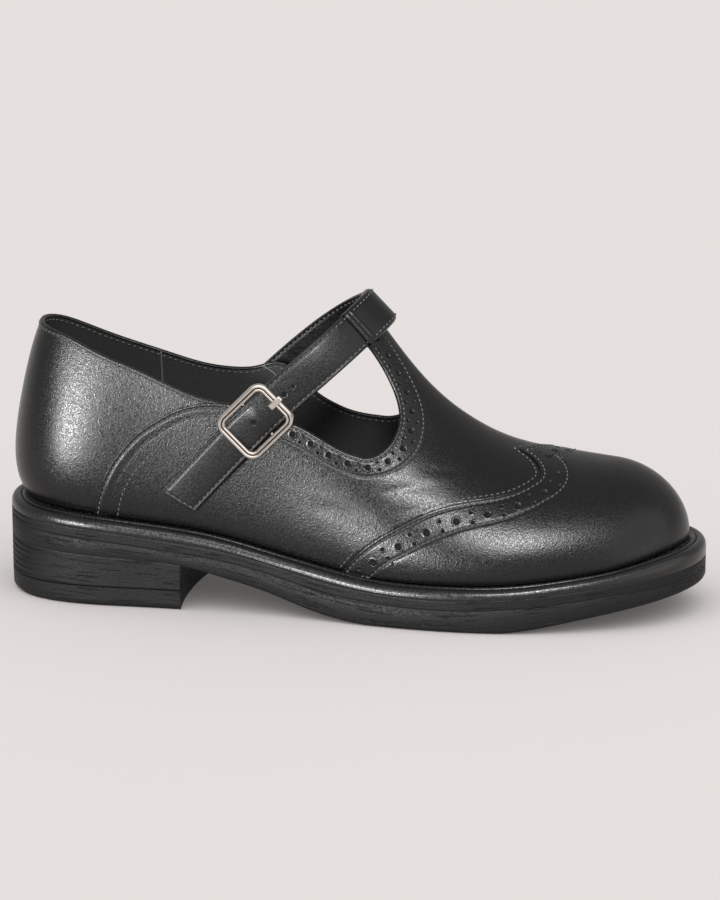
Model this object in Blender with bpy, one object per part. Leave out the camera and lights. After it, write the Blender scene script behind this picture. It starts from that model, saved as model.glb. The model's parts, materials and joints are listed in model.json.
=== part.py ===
"""A strap flat shoe for the right foot: a T-bar upper with a buckled strap on a welted sole and low heel.

The toe points along +X, the outer side with the buckle faces -Y, and the shoe stands on Z = 0.
Sizes are in millimetres until a mesh is made.
"""
import math
from collections import namedtuple

import bmesh
import bpy
import numpy as np

MM = 0.001

# Driving dimensions of the sole
SOLE_LENGTH = 270.0
TOE_SHIFT = 4.0             # the toe's tip lies this far towards the inner side
WELT_LEDGE = 6.0            # welt that shows outside the upper
MIDSOLE_THICKNESS = 3.9
WELT_INNER = 11.0           # inner edge of the welt, from the sole's edge
BREAST_STATION = -62.5      # front corners of the heel
BREAST_HOLLOW = 3.0         # the heel's front face is hollow by this
TOP_LIFT_HEIGHT = 7.8
INSOLE_THICKNESS = 2.6
SEAM_CHAMFER = 0.5          # both edges of a joint between sole layers are cut back by this
SEAM_DROP = 0.9             # height of that chamfer
TREAD_BEVEL = 1.6

# Driving dimensions of the upper
UPPER_WALL = 2.0
HEEL_AXIS = -99.0           # the sections fan out round these two stations
TOE_AXIS = 96.0
AXIS_BLEND = 6.0
BACK_HEIGHT = 68.0
NOTCH_FRONT = 19.9          # front of the cut-outs beside the T-bar
NOTCH_LOW = 8.0             # their lowest place
NOTCH_FRONT_HEIGHT = 75.0
BAR_TOP = 3.0               # rear end of the T-bar, under the loop
BAR_HALF_WIDTH = 12.6
BAR_FLARE = 7.0             # the T-bar widens forward of this station

# Driving dimensions of the strap and its buckle
STRAP_WIDTH = 13.0
STRAP_THICKNESS = 2.2
STRAP_CROWN = 7.0           # station where the strap crosses the ridge
STRAP_RAKE = 44.2           # slope of the strap's legs, in degrees
STRAP_OUTER_DROP = 97.0     # reach of the strap from its crown down each side
STRAP_INNER_DROP = 58.0
LOOP_WALL = 1.3
LOOP_FLOOR = 1.2
LOOP_OUTER_LENGTH = 15.0    # length of the loop to each side of the ridge, along the strap
LOOP_INNER_LENGTH = 11.0
LOOP_SIDE = 1.0             # thickness of the loop in front of and behind the strap
BUCKLE_DROP = 52.0
BUCKLE_LENGTH = 23.8
BUCKLE_WIDTH = 20.5
BUCKLE_BAR = 3.2
BUCKLE_HEIGHT = 2.2
BUCKLE_CORNER = 5.0
HINGE_BAR = 1.3
PRONG_WIDTH = 2.6
PRONG_THICKNESS = 1.3
PRONG_SLOT = 6.2            # the prong comes up through the strap this far above the hinge bar

GAP = 0.3                   # clearance between pieces that touch

# Mesh steps
EDGE_STEPS = 44             # along each side of the sole
FAN_STEPS = 7
QUARTER_STEPS = 20
NOTCH_STEPS = 6
VAMP_STEPS = 9
WALL_ROWS = 8
WALL_CROWDING = 1.5         # the wall's rows gather towards the feather edge
VAMP_ROWS = 6
STRAP_STEPS = 30
CORNER_STEPS = 5
LENGTH_SAMPLES = 1200       # places tried when a station is looked up along the edge
EDGE_CROWDING = 0.6         # share of the edge's steps that gather round the heel and toe
RIDGE_MERGE = 1.2           # the toe's columns share one vertex where they meet within this

# The sole's edge: half widths at stations along the shoe
SoleRow = namedtuple("SoleRow", "station lateral medial")
SOLE_ROWS = (
    SoleRow(-125, 23.5, 23.5),
    SoleRow(-105, 32.0, 32.0),
    SoleRow(-80, 33.3, 33.0),
    SoleRow(-50, 34.4, 31.5),
    SoleRow(-20, 37.2, 31.5),
    SoleRow(10, 42.4, 37.0),
    SoleRow(38, 45.8, 43.2),
    SoleRow(60, 45.4, 46.0),
    SoleRow(82, 41.5, 44.8),
    SoleRow(105, 33.8, 39.5),
    SoleRow(122, 23.0, 31.0),
)

# Heights of the sole: welt top, joint over the outsole, and tread, which is held at the floor
HeightRow = namedtuple("HeightRow", "station ledge joint tread")
HEIGHT_ROWS = (
    HeightRow(-135, 37.4, 28.6, 22.0),
    HeightRow(-97, 34.7, 26.2, 20.0),
    HeightRow(-74, 32.6, 23.8, 18.9),
    HeightRow(-60, 31.2, 22.3, 17.4),
    HeightRow(-45, 28.8, 20.4, 13.6),
    HeightRow(-31, 25.6, 17.6, 9.9),
    HeightRow(-9, 20.9, 12.2, 3.0),
    HeightRow(12, 17.6, 9.5, -0.1),
    HeightRow(40, 16.9, 8.5, -0.6),
    HeightRow(65, 17.8, 9.7, 0.3),
    HeightRow(89, 20.5, 12.2, 4.4),
    HeightRow(105, 22.9, 14.1, 7.2),
    HeightRow(119, 25.8, 15.2, 9.5),
    HeightRow(135, 27.4, 16.6, 11.6),
)

# The welt's section from its outer foot over its shoulder to the groove beside the upper
WeltRow = namedtuple("WeltRow", "inset below_ledge")
WELT_ROWS = (
    WeltRow(0.0, 2.6),
    WeltRow(0.5, 1.4),
    WeltRow(1.6, 0.6),
    WeltRow(3.0, 0.4),
    WeltRow(4.0, 1.1),
    WeltRow(4.7, 0.3),
    WeltRow(5.4, 0.0),
    WeltRow(WELT_INNER, 0.0),
)

# Sections of the last at stations of its feather edge: roundness, swell of the side wall beyond
# the edge, height of that swell, and lean of the top towards the middle
LastRow = namedtuple("LastRow", "station fullness swell swell_height lean")
LAST_ROWS = (
    LastRow(-129, 2.6, 4.5, 18.0, 1.0),
    LastRow(-113, 2.6, 3.8, 18.0, 4.0),
    LastRow(-96, 2.6, 2.8, 18.0, 3.6),
    LastRow(-60, 2.6, 2.0, 16.0, 0.8),
    LastRow(-30, 2.3, 1.6, 16.0, 0.0),
    LastRow(0, 1.75, 1.6, 15.0, 0.0),
    LastRow(25, 1.62, 1.8, 14.0, 0.0),
    LastRow(45, 1.7, 2.0, 13.0, 0.0),
    LastRow(70, 1.9, 1.8, 12.0, 0.0),
    LastRow(100, 2.0, 1.0, 11.0, 0.0),
    LastRow(129, 2.0, 0.4, 10.0, 0.0),
)

# Ridge of the last: its height, and its place between the outer and inner side
RidgeRow = namedtuple("RidgeRow", "station height middle")
RIDGE_ROWS = (
    RidgeRow(-99, 124.0, 0.0),
    RidgeRow(-60, 132.0, 0.0),
    RidgeRow(-30, 134.0, 0.0),
    RidgeRow(-10, 127.0, 0.4),
    RidgeRow(4, 114.5, 0.8),
    RidgeRow(16, 98.8, 1.3),
    RidgeRow(28, 84.2, 2.2),
    RidgeRow(45, 70.2, 3.6),
    RidgeRow(57, 63.8, 4.6),
    RidgeRow(69, 60.1, 5.5),
    RidgeRow(82, 57.6, 6.4),
    RidgeRow(97, 55.4, 7.0),
)

# Top edge of the quarters at stations of the feather edge
TopRow = namedtuple("TopRow", "station lateral medial")
TOP_ROWS = (
    TopRow(-129, 105.6, 105.6),
    TopRow(-110, 101.8, 98.4),
    TopRow(-93, 95.9, 92.4),
    TopRow(-79, 91.0, 88.0),
    TopRow(-62, 84.2, 83.4),
    TopRow(-50, 81.2, 82.5),
    TopRow(-42, 80.3, 83.4),
    TopRow(-35, 79.2, 85.4),
    TopRow(-29, 77.6, 84.0),
    TopRow(-24, 76.1, 79.4),
    TopRow(-19, 74.4, 74.4),
    TopRow(-13, 71.9, 70.6),
    TopRow(-6, 68.1, 67.6),
    TopRow(0, 65.3, 66.2),
    TopRow(8, 63.0, 65.4),
)

# The strap by its drop below the crown: how far its under face stands off the last, and how far
# each leg bends towards the heel
StrapRow = namedtuple("StrapRow", "drop lift outer_bend inner_bend")
STRAP_ROWS = (
    StrapRow(0, LOOP_FLOOR + 2 * GAP, 0.6, 0.6),
    StrapRow(18, LOOP_FLOOR + 2 * GAP, 1.5, 4.0),
    StrapRow(36, 1.6, 2.4, 5.6),
    StrapRow(BUCKLE_DROP, HINGE_BAR + 3 * GAP, 2.6, 6.0),
    StrapRow(72, 0.8, 1.8, 6.0),
    StrapRow(STRAP_OUTER_DROP, GAP, 0.0, 6.0),
)

# Colours and finish: linear base colour, roughness, metallic value
LEATHER = ((0.020, 0.020, 0.021, 1.0), 0.42, 0.0)
LINING = ((0.012, 0.012, 0.012, 1.0), 0.70, 0.0)
SOLE_RUBBER = ((0.018, 0.018, 0.018, 1.0), 0.60, 0.0)
NICKEL = ((0.72, 0.66, 0.59, 1.0), 0.25, 1.0)


def column(table, name):
    """One named column of a table."""
    return np.array([getattr(row, name) for row in table], float)


def spline(knots, values, at):
    """Natural cubic curve through values at knots, held past both ends."""
    step = np.diff(knots)
    rise = np.diff(values) / step
    system = np.eye(len(knots))
    right = np.zeros(len(knots))
    for i in range(1, len(knots) - 1):
        system[i, i - 1:i + 2] = step[i - 1], 2 * (step[i - 1] + step[i]), step[i]
        right[i] = 6 * (rise[i] - rise[i - 1])
    bend = np.linalg.solve(system, right)
    at = np.clip(at, knots[0], knots[-1])
    i = np.clip(np.searchsorted(knots, at) - 1, 0, len(step) - 1)
    ahead = knots[i + 1] - at
    behind = at - knots[i]
    low = (values[i] / step[i] - bend[i] * step[i] / 6) * ahead
    high = (values[i + 1] / step[i] - bend[i + 1] * step[i] / 6) * behind
    return low + high + (bend[i] * ahead ** 3 + bend[i + 1] * behind ** 3) / (6 * step[i])


def read(table, name, at):
    """A table's column as a smooth function of its first column."""
    return spline(column(table, table[0]._fields[0]), column(table, name), np.asarray(at, float))


def edge_knots():
    """The sole's edge from the heel along the outer side to the toe and back, three times round."""
    outer = [(row.station, -row.lateral) for row in SOLE_ROWS]
    inner = [(row.station, row.medial) for row in reversed(SOLE_ROWS)]
    points = np.array([(-SOLE_LENGTH / 2, 0.0), *outer, (SOLE_LENGTH / 2, TOE_SHIFT), *inner])
    chords = np.linalg.norm(np.roll(points, -1, axis=0) - points, axis=1)
    starts = np.concatenate([[0.0], np.cumsum(chords)])
    lap = starts[-1]
    lengths = np.concatenate([starts[:-1] - lap, starts[:-1], starts[:-1] + lap])
    return np.tile(points, (3, 1)), lengths, starts[len(SOLE_ROWS) + 1], lap


EDGE_POINTS, EDGE_LENGTHS, TOE_LENGTH, LAP = edge_knots()


def edge(length, inset=0.0):
    """Points at a length along the sole's edge, moved in by an inset."""
    length = np.asarray(length, float)
    centre = np.stack([spline(EDGE_LENGTHS, EDGE_POINTS[:, k], length) for k in (0, 1)], axis=-1)
    reach = 0.2
    ahead = np.stack([spline(EDGE_LENGTHS, EDGE_POINTS[:, k], length + reach) for k in (0, 1)], axis=-1)
    along = (ahead - centre) / np.linalg.norm(ahead - centre, axis=-1, keepdims=True)
    inward = np.stack([-along[..., 1], along[..., 0]], axis=-1)
    return centre + inset * inward


def length_at(station, side, inset):
    """Length along the edge where its inset line passes a station: side -1 is outer, +1 inner."""
    end = 0.0 if side < 0 else LAP
    lengths = np.linspace(end, TOE_LENGTH, LENGTH_SAMPLES)
    stations = np.maximum.accumulate(edge(lengths, inset)[:, 0])
    return np.interp(station, stations, lengths)


def tread(x):
    """Underside of the outsole: flat on the floor under the ball of the foot."""
    return np.maximum(read(HEIGHT_ROWS, "tread", x), 0.0)


def ledge(x):
    return read(HEIGHT_ROWS, "ledge", x)


def joint(x):
    return read(HEIGHT_ROWS, "joint", x)


def welt_base(x):
    return joint(x) + MIDSOLE_THICKNESS


def soft_step(distance):
    """Zero before, and the distance itself after, with a rounded change between."""
    return AXIS_BLEND * np.log1p(np.exp(np.clip(distance / AXIS_BLEND, -40, 40)))


def section(length):
    """The last's section over a place on the edge: foot, direction inwards, reach, height, table row."""
    foot = edge(length, WELT_LEDGE)
    station = foot[..., 0]
    axis = HEEL_AXIS + soft_step(station - HEEL_AXIS) - soft_step(station - TOE_AXIS)
    middle = np.stack([axis, read(RIDGE_ROWS, "middle", axis)], axis=-1)
    reach = np.linalg.norm(middle - foot, axis=-1)
    inward = (middle - foot) / reach[..., None]
    base = ledge(station) + GAP
    height = read(RIDGE_ROWS, "height", axis) - base
    return foot, inward, reach, base, height, station


def last_point(length, angle):
    """The outer face of the upper: angle runs from 0 at the feather edge to a right angle at the ridge."""
    foot, inward, reach, base, height, station = section(np.asarray(length, float))
    power = 2 / read(LAST_ROWS, "fullness", station)
    rise = height * np.sin(angle) ** power
    depth = reach * (1 - np.maximum(np.cos(angle), 0.0) ** power)
    share = rise / read(LAST_ROWS, "swell_height", station)
    depth = depth - read(LAST_ROWS, "swell", station) * share * np.exp(1 - share)
    depth = depth + read(LAST_ROWS, "lean", station) * (rise / BACK_HEIGHT) ** 2 * np.cos(angle) ** 2
    return np.concatenate([foot + inward * depth[..., None], (base + rise)[..., None]], axis=-1)


def angle_at_height(length, z):
    """Angle at which a section of the last reaches a height."""
    _, _, _, base, height, station = section(np.asarray(length, float))
    return np.arcsin(np.clip((z - base) / height, 0, 1) ** (read(LAST_ROWS, "fullness", station) / 2))


def angle_at_width(length, half_width):
    """Angle at which a section of the last is this far from the ridge."""
    _, _, reach, _, _, station = section(np.asarray(length, float))
    return np.arccos(np.clip(half_width / reach, 0, 1) ** (read(LAST_ROWS, "fullness", station) / 2))


def width_at_angle(length, angle):
    _, _, reach, _, _, station = section(np.asarray(length, float))
    return reach * np.cos(angle) ** (2 / read(LAST_ROWS, "fullness", station))


def quarter_round(share):
    """Falls from 1 to 0 along a quarter of an ellipse."""
    return math.sqrt(max(0.0, 1 - share * share))


def top_angle(station, side):
    """Angle of the quarter's top edge, which rounds up to the front of the cut-out."""
    name = "lateral" if side < 0 else "medial"
    height = float(read(TOP_ROWS, name, station))
    if station > NOTCH_LOW:
        share = (station - NOTCH_LOW) / (NOTCH_FRONT - NOTCH_LOW)
        height = NOTCH_FRONT_HEIGHT - (NOTCH_FRONT_HEIGHT - height) * quarter_round(share)
    return float(angle_at_height(length_at(station, side, WELT_LEDGE), height))


def bar_angle(station, side):
    """Angle of the T-bar's edge, which flares out to the front of the cut-out."""
    front = length_at(NOTCH_FRONT, side, WELT_LEDGE)
    widest = float(width_at_angle(front, angle_at_height(front, NOTCH_FRONT_HEIGHT)))
    share = max(0.0, (station - BAR_FLARE) / (NOTCH_FRONT - BAR_FLARE))
    half_width = widest - (widest - BAR_HALF_WIDTH) * quarter_round(share)
    return float(angle_at_width(length_at(station, side, WELT_LEDGE), half_width))


def finish(name, bm, look):
    """Turns a bmesh in millimetres into a named object with its own material."""
    bmesh.ops.scale(bm, vec=(MM, MM, MM), verts=bm.verts)
    mesh = bpy.data.meshes.new(name)
    bm.to_mesh(mesh)
    bm.free()
    obj = bpy.data.objects.new(name, mesh)
    bpy.context.scene.collection.objects.link(obj)
    colour, roughness, metallic = look
    material = bpy.data.materials.new(name)
    material.use_nodes = True
    surface = material.node_tree.nodes["Principled BSDF"]
    surface.inputs["Base Color"].default_value = colour
    surface.inputs["Roughness"].default_value = roughness
    surface.inputs["Metallic"].default_value = metallic
    material.diffuse_color = colour
    mesh.materials.append(material)
    return obj


def add_face(bm, corners):
    """A face from corners that may repeat, as they do where columns meet at one point."""
    kept = [v for i, v in enumerate(corners) if v is not corners[i - 1]]
    if len(kept) > 2:
        bm.faces.new(kept)


def bridge(bm, low, high, closed=True):
    """Quads between two rows of vertices."""
    count = len(low) if closed else len(low) - 1
    for i in range(count):
        j = (i + 1) % len(low)
        add_face(bm, (low[i], low[j], high[j], high[i]))


def cap(bm, ring):
    """Closes a ring that runs out along one side and back along the other with strips across it."""
    half = len(ring) // 2
    for i in range(half):
        add_face(bm, (ring[i], ring[i + 1], ring[-i - 1], ring[-i]))


def stack(name, rings, look, tube=False):
    """A solid through rings of points, capped at both ends, or joined end to end as a tube."""
    bm = bmesh.new()
    rows = [[bm.verts.new(point) for point in ring] for ring in rings]
    for low, high in zip(rows, rows[1:]):
        bridge(bm, low, high)
    if tube:
        bridge(bm, rows[-1], rows[0])
    else:
        cap(bm, rows[0])
        cap(bm, rows[-1])
    bmesh.ops.recalc_face_normals(bm, faces=bm.faces)
    return finish(name, bm, look)


def sole_lengths():
    """Places along the edge, closer together round the heel and toe, the same on both sides."""
    even = np.linspace(0, 1, EDGE_STEPS + 1)
    gathered = (1 - np.cos(math.pi * even)) / 2
    shares = EDGE_CROWDING * gathered + (1 - EDGE_CROWDING) * even
    outer = shares * TOE_LENGTH
    inner = LAP - shares * (LAP - TOE_LENGTH)
    return np.concatenate([outer, inner[-2:0:-1]])


def ring_at(lengths, inset, height):
    """A ring of the sole: the edge moved in, at a height that depends on the station."""
    points = edge(lengths, inset)
    return np.column_stack([points, height(points[:, 0])])


def tread_bevel(x):
    """Bevel of the outsole's lower edge, which is only a fine joint where the heel meets it."""
    share = (x - BREAST_STATION) / (2 * WELT_INNER)
    return TREAD_BEVEL * np.clip(share, SEAM_CHAMFER / TREAD_BEVEL, 1)


def outsole():
    lengths = sole_lengths()
    insets = tread_bevel(edge(lengths)[:, 0])
    rings = [
        ring_at(lengths, insets[:, None], tread),
        ring_at(lengths, 0.0, lambda x: tread(x) + tread_bevel(x)),
        ring_at(lengths, 0.0, lambda x: joint(x) - SEAM_DROP),
        ring_at(lengths, SEAM_CHAMFER, lambda x: joint(x) - GAP / 2),
    ]
    return stack("outsole", rings, SOLE_RUBBER)


def midsole():
    """A plate whose core stands up inside the welt and carries the insole."""
    lengths = sole_lengths()
    rings = [
        ring_at(lengths, SEAM_CHAMFER, lambda x: joint(x) + GAP / 2),
        ring_at(lengths, 0.0, lambda x: joint(x) + SEAM_DROP),
        ring_at(lengths, 0.0, lambda x: welt_base(x) - SEAM_DROP),
        ring_at(lengths, SEAM_CHAMFER, lambda x: welt_base(x) - GAP / 2),
        ring_at(lengths, WELT_INNER + GAP, lambda x: welt_base(x) - GAP / 2),
        ring_at(lengths, WELT_INNER + GAP, ledge),
    ]
    return stack("midsole", rings, SOLE_RUBBER)


def welt():
    lengths = sole_lengths()
    rings = [
        ring_at(lengths, SEAM_CHAMFER, lambda x: welt_base(x) + GAP / 2),
        ring_at(lengths, 0.0, lambda x: welt_base(x) + SEAM_DROP),
    ]
    for row in WELT_ROWS:
        rings.append(ring_at(lengths, row.inset, lambda x: ledge(x) - row.below_ledge))
    rings.append(ring_at(lengths, WELT_INNER, lambda x: welt_base(x) + GAP / 2))
    return stack("welt", rings, SOLE_RUBBER, tube=True)


def insole():
    lengths = sole_lengths()
    inset = WELT_LEDGE + UPPER_WALL + 2 * GAP
    rings = [
        ring_at(lengths, inset, lambda x: ledge(x) + GAP),
        ring_at(lengths, inset, lambda x: ledge(x) + GAP + INSOLE_THICKNESS),
    ]
    return stack("insole", rings, LINING)


def heel_ring(inset, height):
    """A ring of the heel: round the back, then across the hollow front face."""
    corner = length_at(BREAST_STATION, -1, inset)
    other = length_at(BREAST_STATION, 1, inset)
    steps = EDGE_STEPS // 2
    outer = edge(np.linspace(0.0, corner, steps), inset)
    inner = edge(np.linspace(other, LAP, steps), inset)
    across = np.linspace(-1, 1, CORNER_STEPS * 2 + 1)[1:-1]
    start, end = outer[-1], inner[0]
    hollow = BREAST_HOLLOW * (1 - across ** 2)
    front = start + (end - start) * ((across + 1) / 2)[:, None] - np.column_stack([hollow, 0 * hollow])
    points = np.vstack([outer, front, inner[:-1]])
    return np.column_stack([points, height(points[:, 0])])


def level(z):
    """A height that is the same at every station."""
    return lambda x: np.full_like(x, z)


def heel():
    """The heel block under the outsole, and the top lift under the block."""
    seam = TOP_LIFT_HEIGHT + GAP / 2
    block = [
        heel_ring(SEAM_CHAMFER, level(seam)),
        heel_ring(0.0, level(seam + SEAM_DROP)),
        heel_ring(0.0, lambda x: tread(x) - GAP - SEAM_DROP),
        heel_ring(SEAM_CHAMFER, lambda x: tread(x) - GAP),
    ]
    lift = [
        heel_ring(TREAD_BEVEL, level(0.0)),
        heel_ring(SEAM_CHAMFER, level(TREAD_BEVEL)),
        heel_ring(0.0, level(TOP_LIFT_HEIGHT - SEAM_DROP)),
        heel_ring(SEAM_CHAMFER, level(TOP_LIFT_HEIGHT - GAP / 2)),
    ]
    stack("heel_block", block, SOLE_RUBBER)
    stack("heel_top_lift", lift, SOLE_RUBBER)


def wall_stations():
    """Stations of the upper's columns from heel to toe, and the index of the cut-out's front."""
    turn = np.linspace(0, math.pi / 2, FAN_STEPS + 1)
    back = edge(0.0, WELT_LEDGE)[0]
    tip = edge(TOE_LENGTH, WELT_LEDGE)[0]
    heel_fan = HEEL_AXIS - (HEEL_AXIS - back) * np.cos(turn)
    quarter = np.linspace(HEEL_AXIS, NOTCH_LOW, QUARTER_STEPS + 1)[1:]
    notch = NOTCH_LOW + (NOTCH_FRONT - NOTCH_LOW) * np.sin(np.linspace(0, math.pi / 2, NOTCH_STEPS + 1))[1:]
    vamp = np.linspace(NOTCH_FRONT, TOE_AXIS, VAMP_STEPS + 1)[1:]
    toe_fan = TOE_AXIS + (tip - TOE_AXIS) * np.sin(turn)[1:]
    front = len(heel_fan) + len(quarter) + len(notch) - 1
    return np.concatenate([heel_fan, quarter, notch, vamp, toe_fan]), front


def upper():
    """One leather sheet over the last, open at the collar, the cut-outs and underneath, given its wall."""
    bm = bmesh.new()
    stations, front = wall_stations()
    tip = len(stations) - 1
    front_angle = {side: top_angle(NOTCH_FRONT, side) for side in (-1, 1)}
    ridge_verts = {}

    def vert(length, angle):
        return bm.verts.new(last_point(length, angle))

    def ridge_vert(station, length):
        """One vertex on the ridge for both sides, and a single one where the toe's columns meet."""
        point = last_point(length, math.pi / 2)
        for place in ridge_verts.values():
            if abs(place.co.x - point[0]) < RIDGE_MERGE:
                return place
        ridge_verts[station] = bm.verts.new(point)
        return ridge_verts[station]

    def wall_column(index, side):
        station = stations[index]
        length = {0: 0.0, tip: TOE_LENGTH}.get(index, length_at(station, side, WELT_LEDGE))
        top = top_angle(station, side) if index < front else front_angle[side]
        return [vert(length, top * (row / WALL_ROWS) ** WALL_CROWDING) for row in range(WALL_ROWS + 1)]

    def upper_column(station, length, low, low_vert=None):
        rows = [low + (math.pi / 2 - low) * row / VAMP_ROWS for row in range(VAMP_ROWS)]
        verts = [vert(length, angle) for angle in rows[1:]]
        return [low_vert or vert(length, low), *verts, ridge_vert(station, length)]

    outer = [wall_column(i, -1) for i in range(tip + 1)]
    inner = [outer[0]] + [wall_column(i, 1) for i in range(1, tip)] + [outer[tip]]
    for side, columns in ((-1, outer), (1, inner)):
        for left, right in zip(columns, columns[1:]):
            bridge(bm, left, right, closed=False)

    flare = np.sin(np.linspace(0, math.pi / 2, NOTCH_STEPS + 1))[:-1]
    bar_stations = [BAR_TOP, *(BAR_FLARE + (NOTCH_FRONT - BAR_FLARE) * flare)]
    tip_column = upper_column(stations[tip], TOE_LENGTH, front_angle[-1], outer[tip][-1])
    for side, columns in ((-1, outer), (1, inner)):
        sheet = []
        for station in bar_stations:
            length = length_at(station, side, WELT_LEDGE)
            sheet.append(upper_column(station, length, bar_angle(station, side)))
        for i in range(front, tip):
            length = length_at(stations[i], side, WELT_LEDGE)
            sheet.append(upper_column(stations[i], length, front_angle[side], columns[i][-1]))
        sheet.append(tip_column)
        for left, right in zip(sheet, sheet[1:]):
            bridge(bm, left, right, closed=False)

    bmesh.ops.recalc_face_normals(bm, faces=bm.faces)
    lowest = min(bm.faces, key=lambda face: face.calc_center_median().y)
    if lowest.normal.y > 0:
        bmesh.ops.reverse_faces(bm, faces=bm.faces)
    obj = finish("upper", bm, LEATHER)
    wall = obj.modifiers.new("wall", "SOLIDIFY")
    wall.thickness = UPPER_WALL * MM
    wall.offset = -1.0
    wall.use_even_offset = True
    wall.use_quality_normals = True
    return obj


def strap_frame():
    """The strap's plane: the ridge's outermost place under it, its width direction and its outward one."""
    rake = math.radians(STRAP_RAKE)
    across = np.array([-math.sin(rake), 0.0, math.cos(rake)])
    out = np.array([math.cos(rake), 0.0, math.sin(rake)])
    stations = STRAP_CROWN + np.linspace(-0.5, 0.5, 9) * STRAP_WIDTH * math.sin(rake)
    heights = read(RIDGE_ROWS, "height", stations)
    ridge = np.column_stack([stations, 0 * stations, heights])
    crown = ridge[len(ridge) // 2]
    return crown + max((ridge - crown) @ out) * out, across, out


CROWN, ACROSS, OUT = strap_frame()


def side_reach(x, z, side):
    """How far the last stands out to one side at a station and height."""
    length = length_at(x, side, WELT_LEDGE)
    return side * float(last_point(length, angle_at_height(length, z))[1])


def strap_bend(drop, side):
    return float(read(STRAP_ROWS, "outer_bend" if side < 0 else "inner_bend", drop))


def strap_reach(drop, side):
    """Widest reach of the last under the strap's breadth, at a drop below the crown."""
    reaches = []
    for share in np.linspace(-0.5, 0.5, 5):
        breadth = share * STRAP_WIDTH + strap_bend(drop, side)
        place = CROWN - drop * OUT + breadth * ACROSS
        reaches.append(side_reach(place[0], place[2], side))
    return max(reaches)


def strap_path():
    """The strap's under face from the outer end over the crown to the inner end, in its own plane.

    Gives the sideways place and height over the crown, the bend towards the heel, and the outward normal.
    """
    shares = np.linspace(0, 1, 9)[1:] ** 2
    knots = [(0.0, 0.0, STRAP_ROWS[0].outer_bend)]
    for side, end in ((-1, STRAP_OUTER_DROP), (1, STRAP_INNER_DROP)):
        leg = [(side * strap_reach(drop, side), -drop, strap_bend(drop, side)) for drop in end * shares]
        knots = leg[::-1] + knots if side < 0 else knots + leg
    knots = np.array(knots)
    lengths = np.concatenate([[0.0], np.cumsum(np.linalg.norm(np.diff(knots[:, :2], axis=0), axis=1))])
    places = np.linspace(0, lengths[-1], 2 * STRAP_STEPS + 1)
    line = np.column_stack([spline(lengths, knots[:, k], places) for k in (0, 1)])
    along = np.gradient(line, axis=0)
    along = along / np.linalg.norm(along, axis=1)[:, None]
    normal = np.column_stack([-along[:, 1], along[:, 0]])
    lift = np.interp(-line[:, 1], column(STRAP_ROWS, "drop"), column(STRAP_ROWS, "lift"))
    return line + normal * lift[:, None], spline(lengths, knots[:, 2], places), normal


STRAP_LINE, STRAP_BEND, STRAP_NORMAL = strap_path()


def strap_point(index, breadth, height):
    """A place on the strap: station index, distance across it, and height over its under face."""
    side, up = STRAP_LINE[index] + STRAP_NORMAL[index] * height
    return CROWN + (breadth + STRAP_BEND[index]) * ACROSS + up * OUT + side * np.array([0.0, 1.0, 0.0])


def strap():
    half = STRAP_WIDTH / 2
    corners = ((-half, 0.0), (half, 0.0), (half, STRAP_THICKNESS), (-half, STRAP_THICKNESS))
    rings = [[strap_point(i, *corner) for corner in corners] for i in range(len(STRAP_LINE))]
    obj = stack("strap", rings, LEATHER)
    slot = buckle_box("strap_slot", PRONG_SLOT, PRONG_THICKNESS + 3 * GAP, PRONG_WIDTH + 2 * GAP, LEATHER)
    slot.hide_render = True
    slot.display_type = "WIRE"
    cut = obj.modifiers.new("slot", "BOOLEAN")
    cut.operation = "DIFFERENCE"
    cut.object = slot


def strap_loop():
    """A flat sleeve round the strap where it crosses the T-bar."""
    inner_half = STRAP_WIDTH / 2 + GAP
    outer_half = inner_half + LOOP_SIDE
    top = STRAP_THICKNESS + GAP
    inner = ((-inner_half, -GAP), (inner_half, -GAP), (inner_half, top), (-inner_half, top))
    floor = -GAP - LOOP_FLOOR
    roof = top + LOOP_WALL
    outer = ((-outer_half, floor), (outer_half, floor), (outer_half, roof), (-outer_half, roof))
    crown_index = int(np.argmax(STRAP_LINE[:, 1]))
    distance = np.concatenate([[0.0], np.cumsum(np.linalg.norm(np.diff(STRAP_LINE, axis=0), axis=1))])
    distance = distance - distance[crown_index]
    places = np.flatnonzero((distance > -LOOP_OUTER_LENGTH) & (distance < LOOP_INNER_LENGTH))
    outside = [[strap_point(i, *corner) for corner in outer] for i in places]
    inside = [[strap_point(i, *corner) for corner in inner] for i in places]
    return stack("strap_loop", outside + inside[::-1], LEATHER, tube=True)


def buckle_axes():
    """Middle of the buckle on the strap's upper face, with its directions up the strap, across and out."""
    outer_leg = range(int(np.argmax(STRAP_LINE[:, 1])))
    index = min(outer_leg, key=lambda i: abs(STRAP_LINE[i, 1] + BUCKLE_DROP))
    middle = strap_point(index, 0.0, STRAP_THICKNESS)
    along = strap_point(index + 2, 0.0, 0.0) - strap_point(index - 2, 0.0, 0.0)
    along = along / np.linalg.norm(along)
    out = np.cross(along, ACROSS)
    out = out / np.linalg.norm(out)
    return middle, along, np.cross(out, along), out


BUCKLE_MIDDLE, BUCKLE_UP, BUCKLE_ACROSS, BUCKLE_OUT = buckle_axes()


def buckle_point(up, across, out):
    return BUCKLE_MIDDLE + up * BUCKLE_UP + across * BUCKLE_ACROSS + out * BUCKLE_OUT


def buckle_box(name, up, length, width, look, out=-STRAP_THICKNESS / 2, height=4 * STRAP_THICKNESS):
    """A block on the buckle's axes, centred at a place up the strap."""
    rings = []
    for z in (out - height / 2, out + height / 2):
        corners = ((-1, -1), (1, -1), (1, 1), (-1, 1))
        rings.append([buckle_point(up + u * length / 2, a * width / 2, z) for u, a in corners])
    return stack(name, rings, look)


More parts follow.
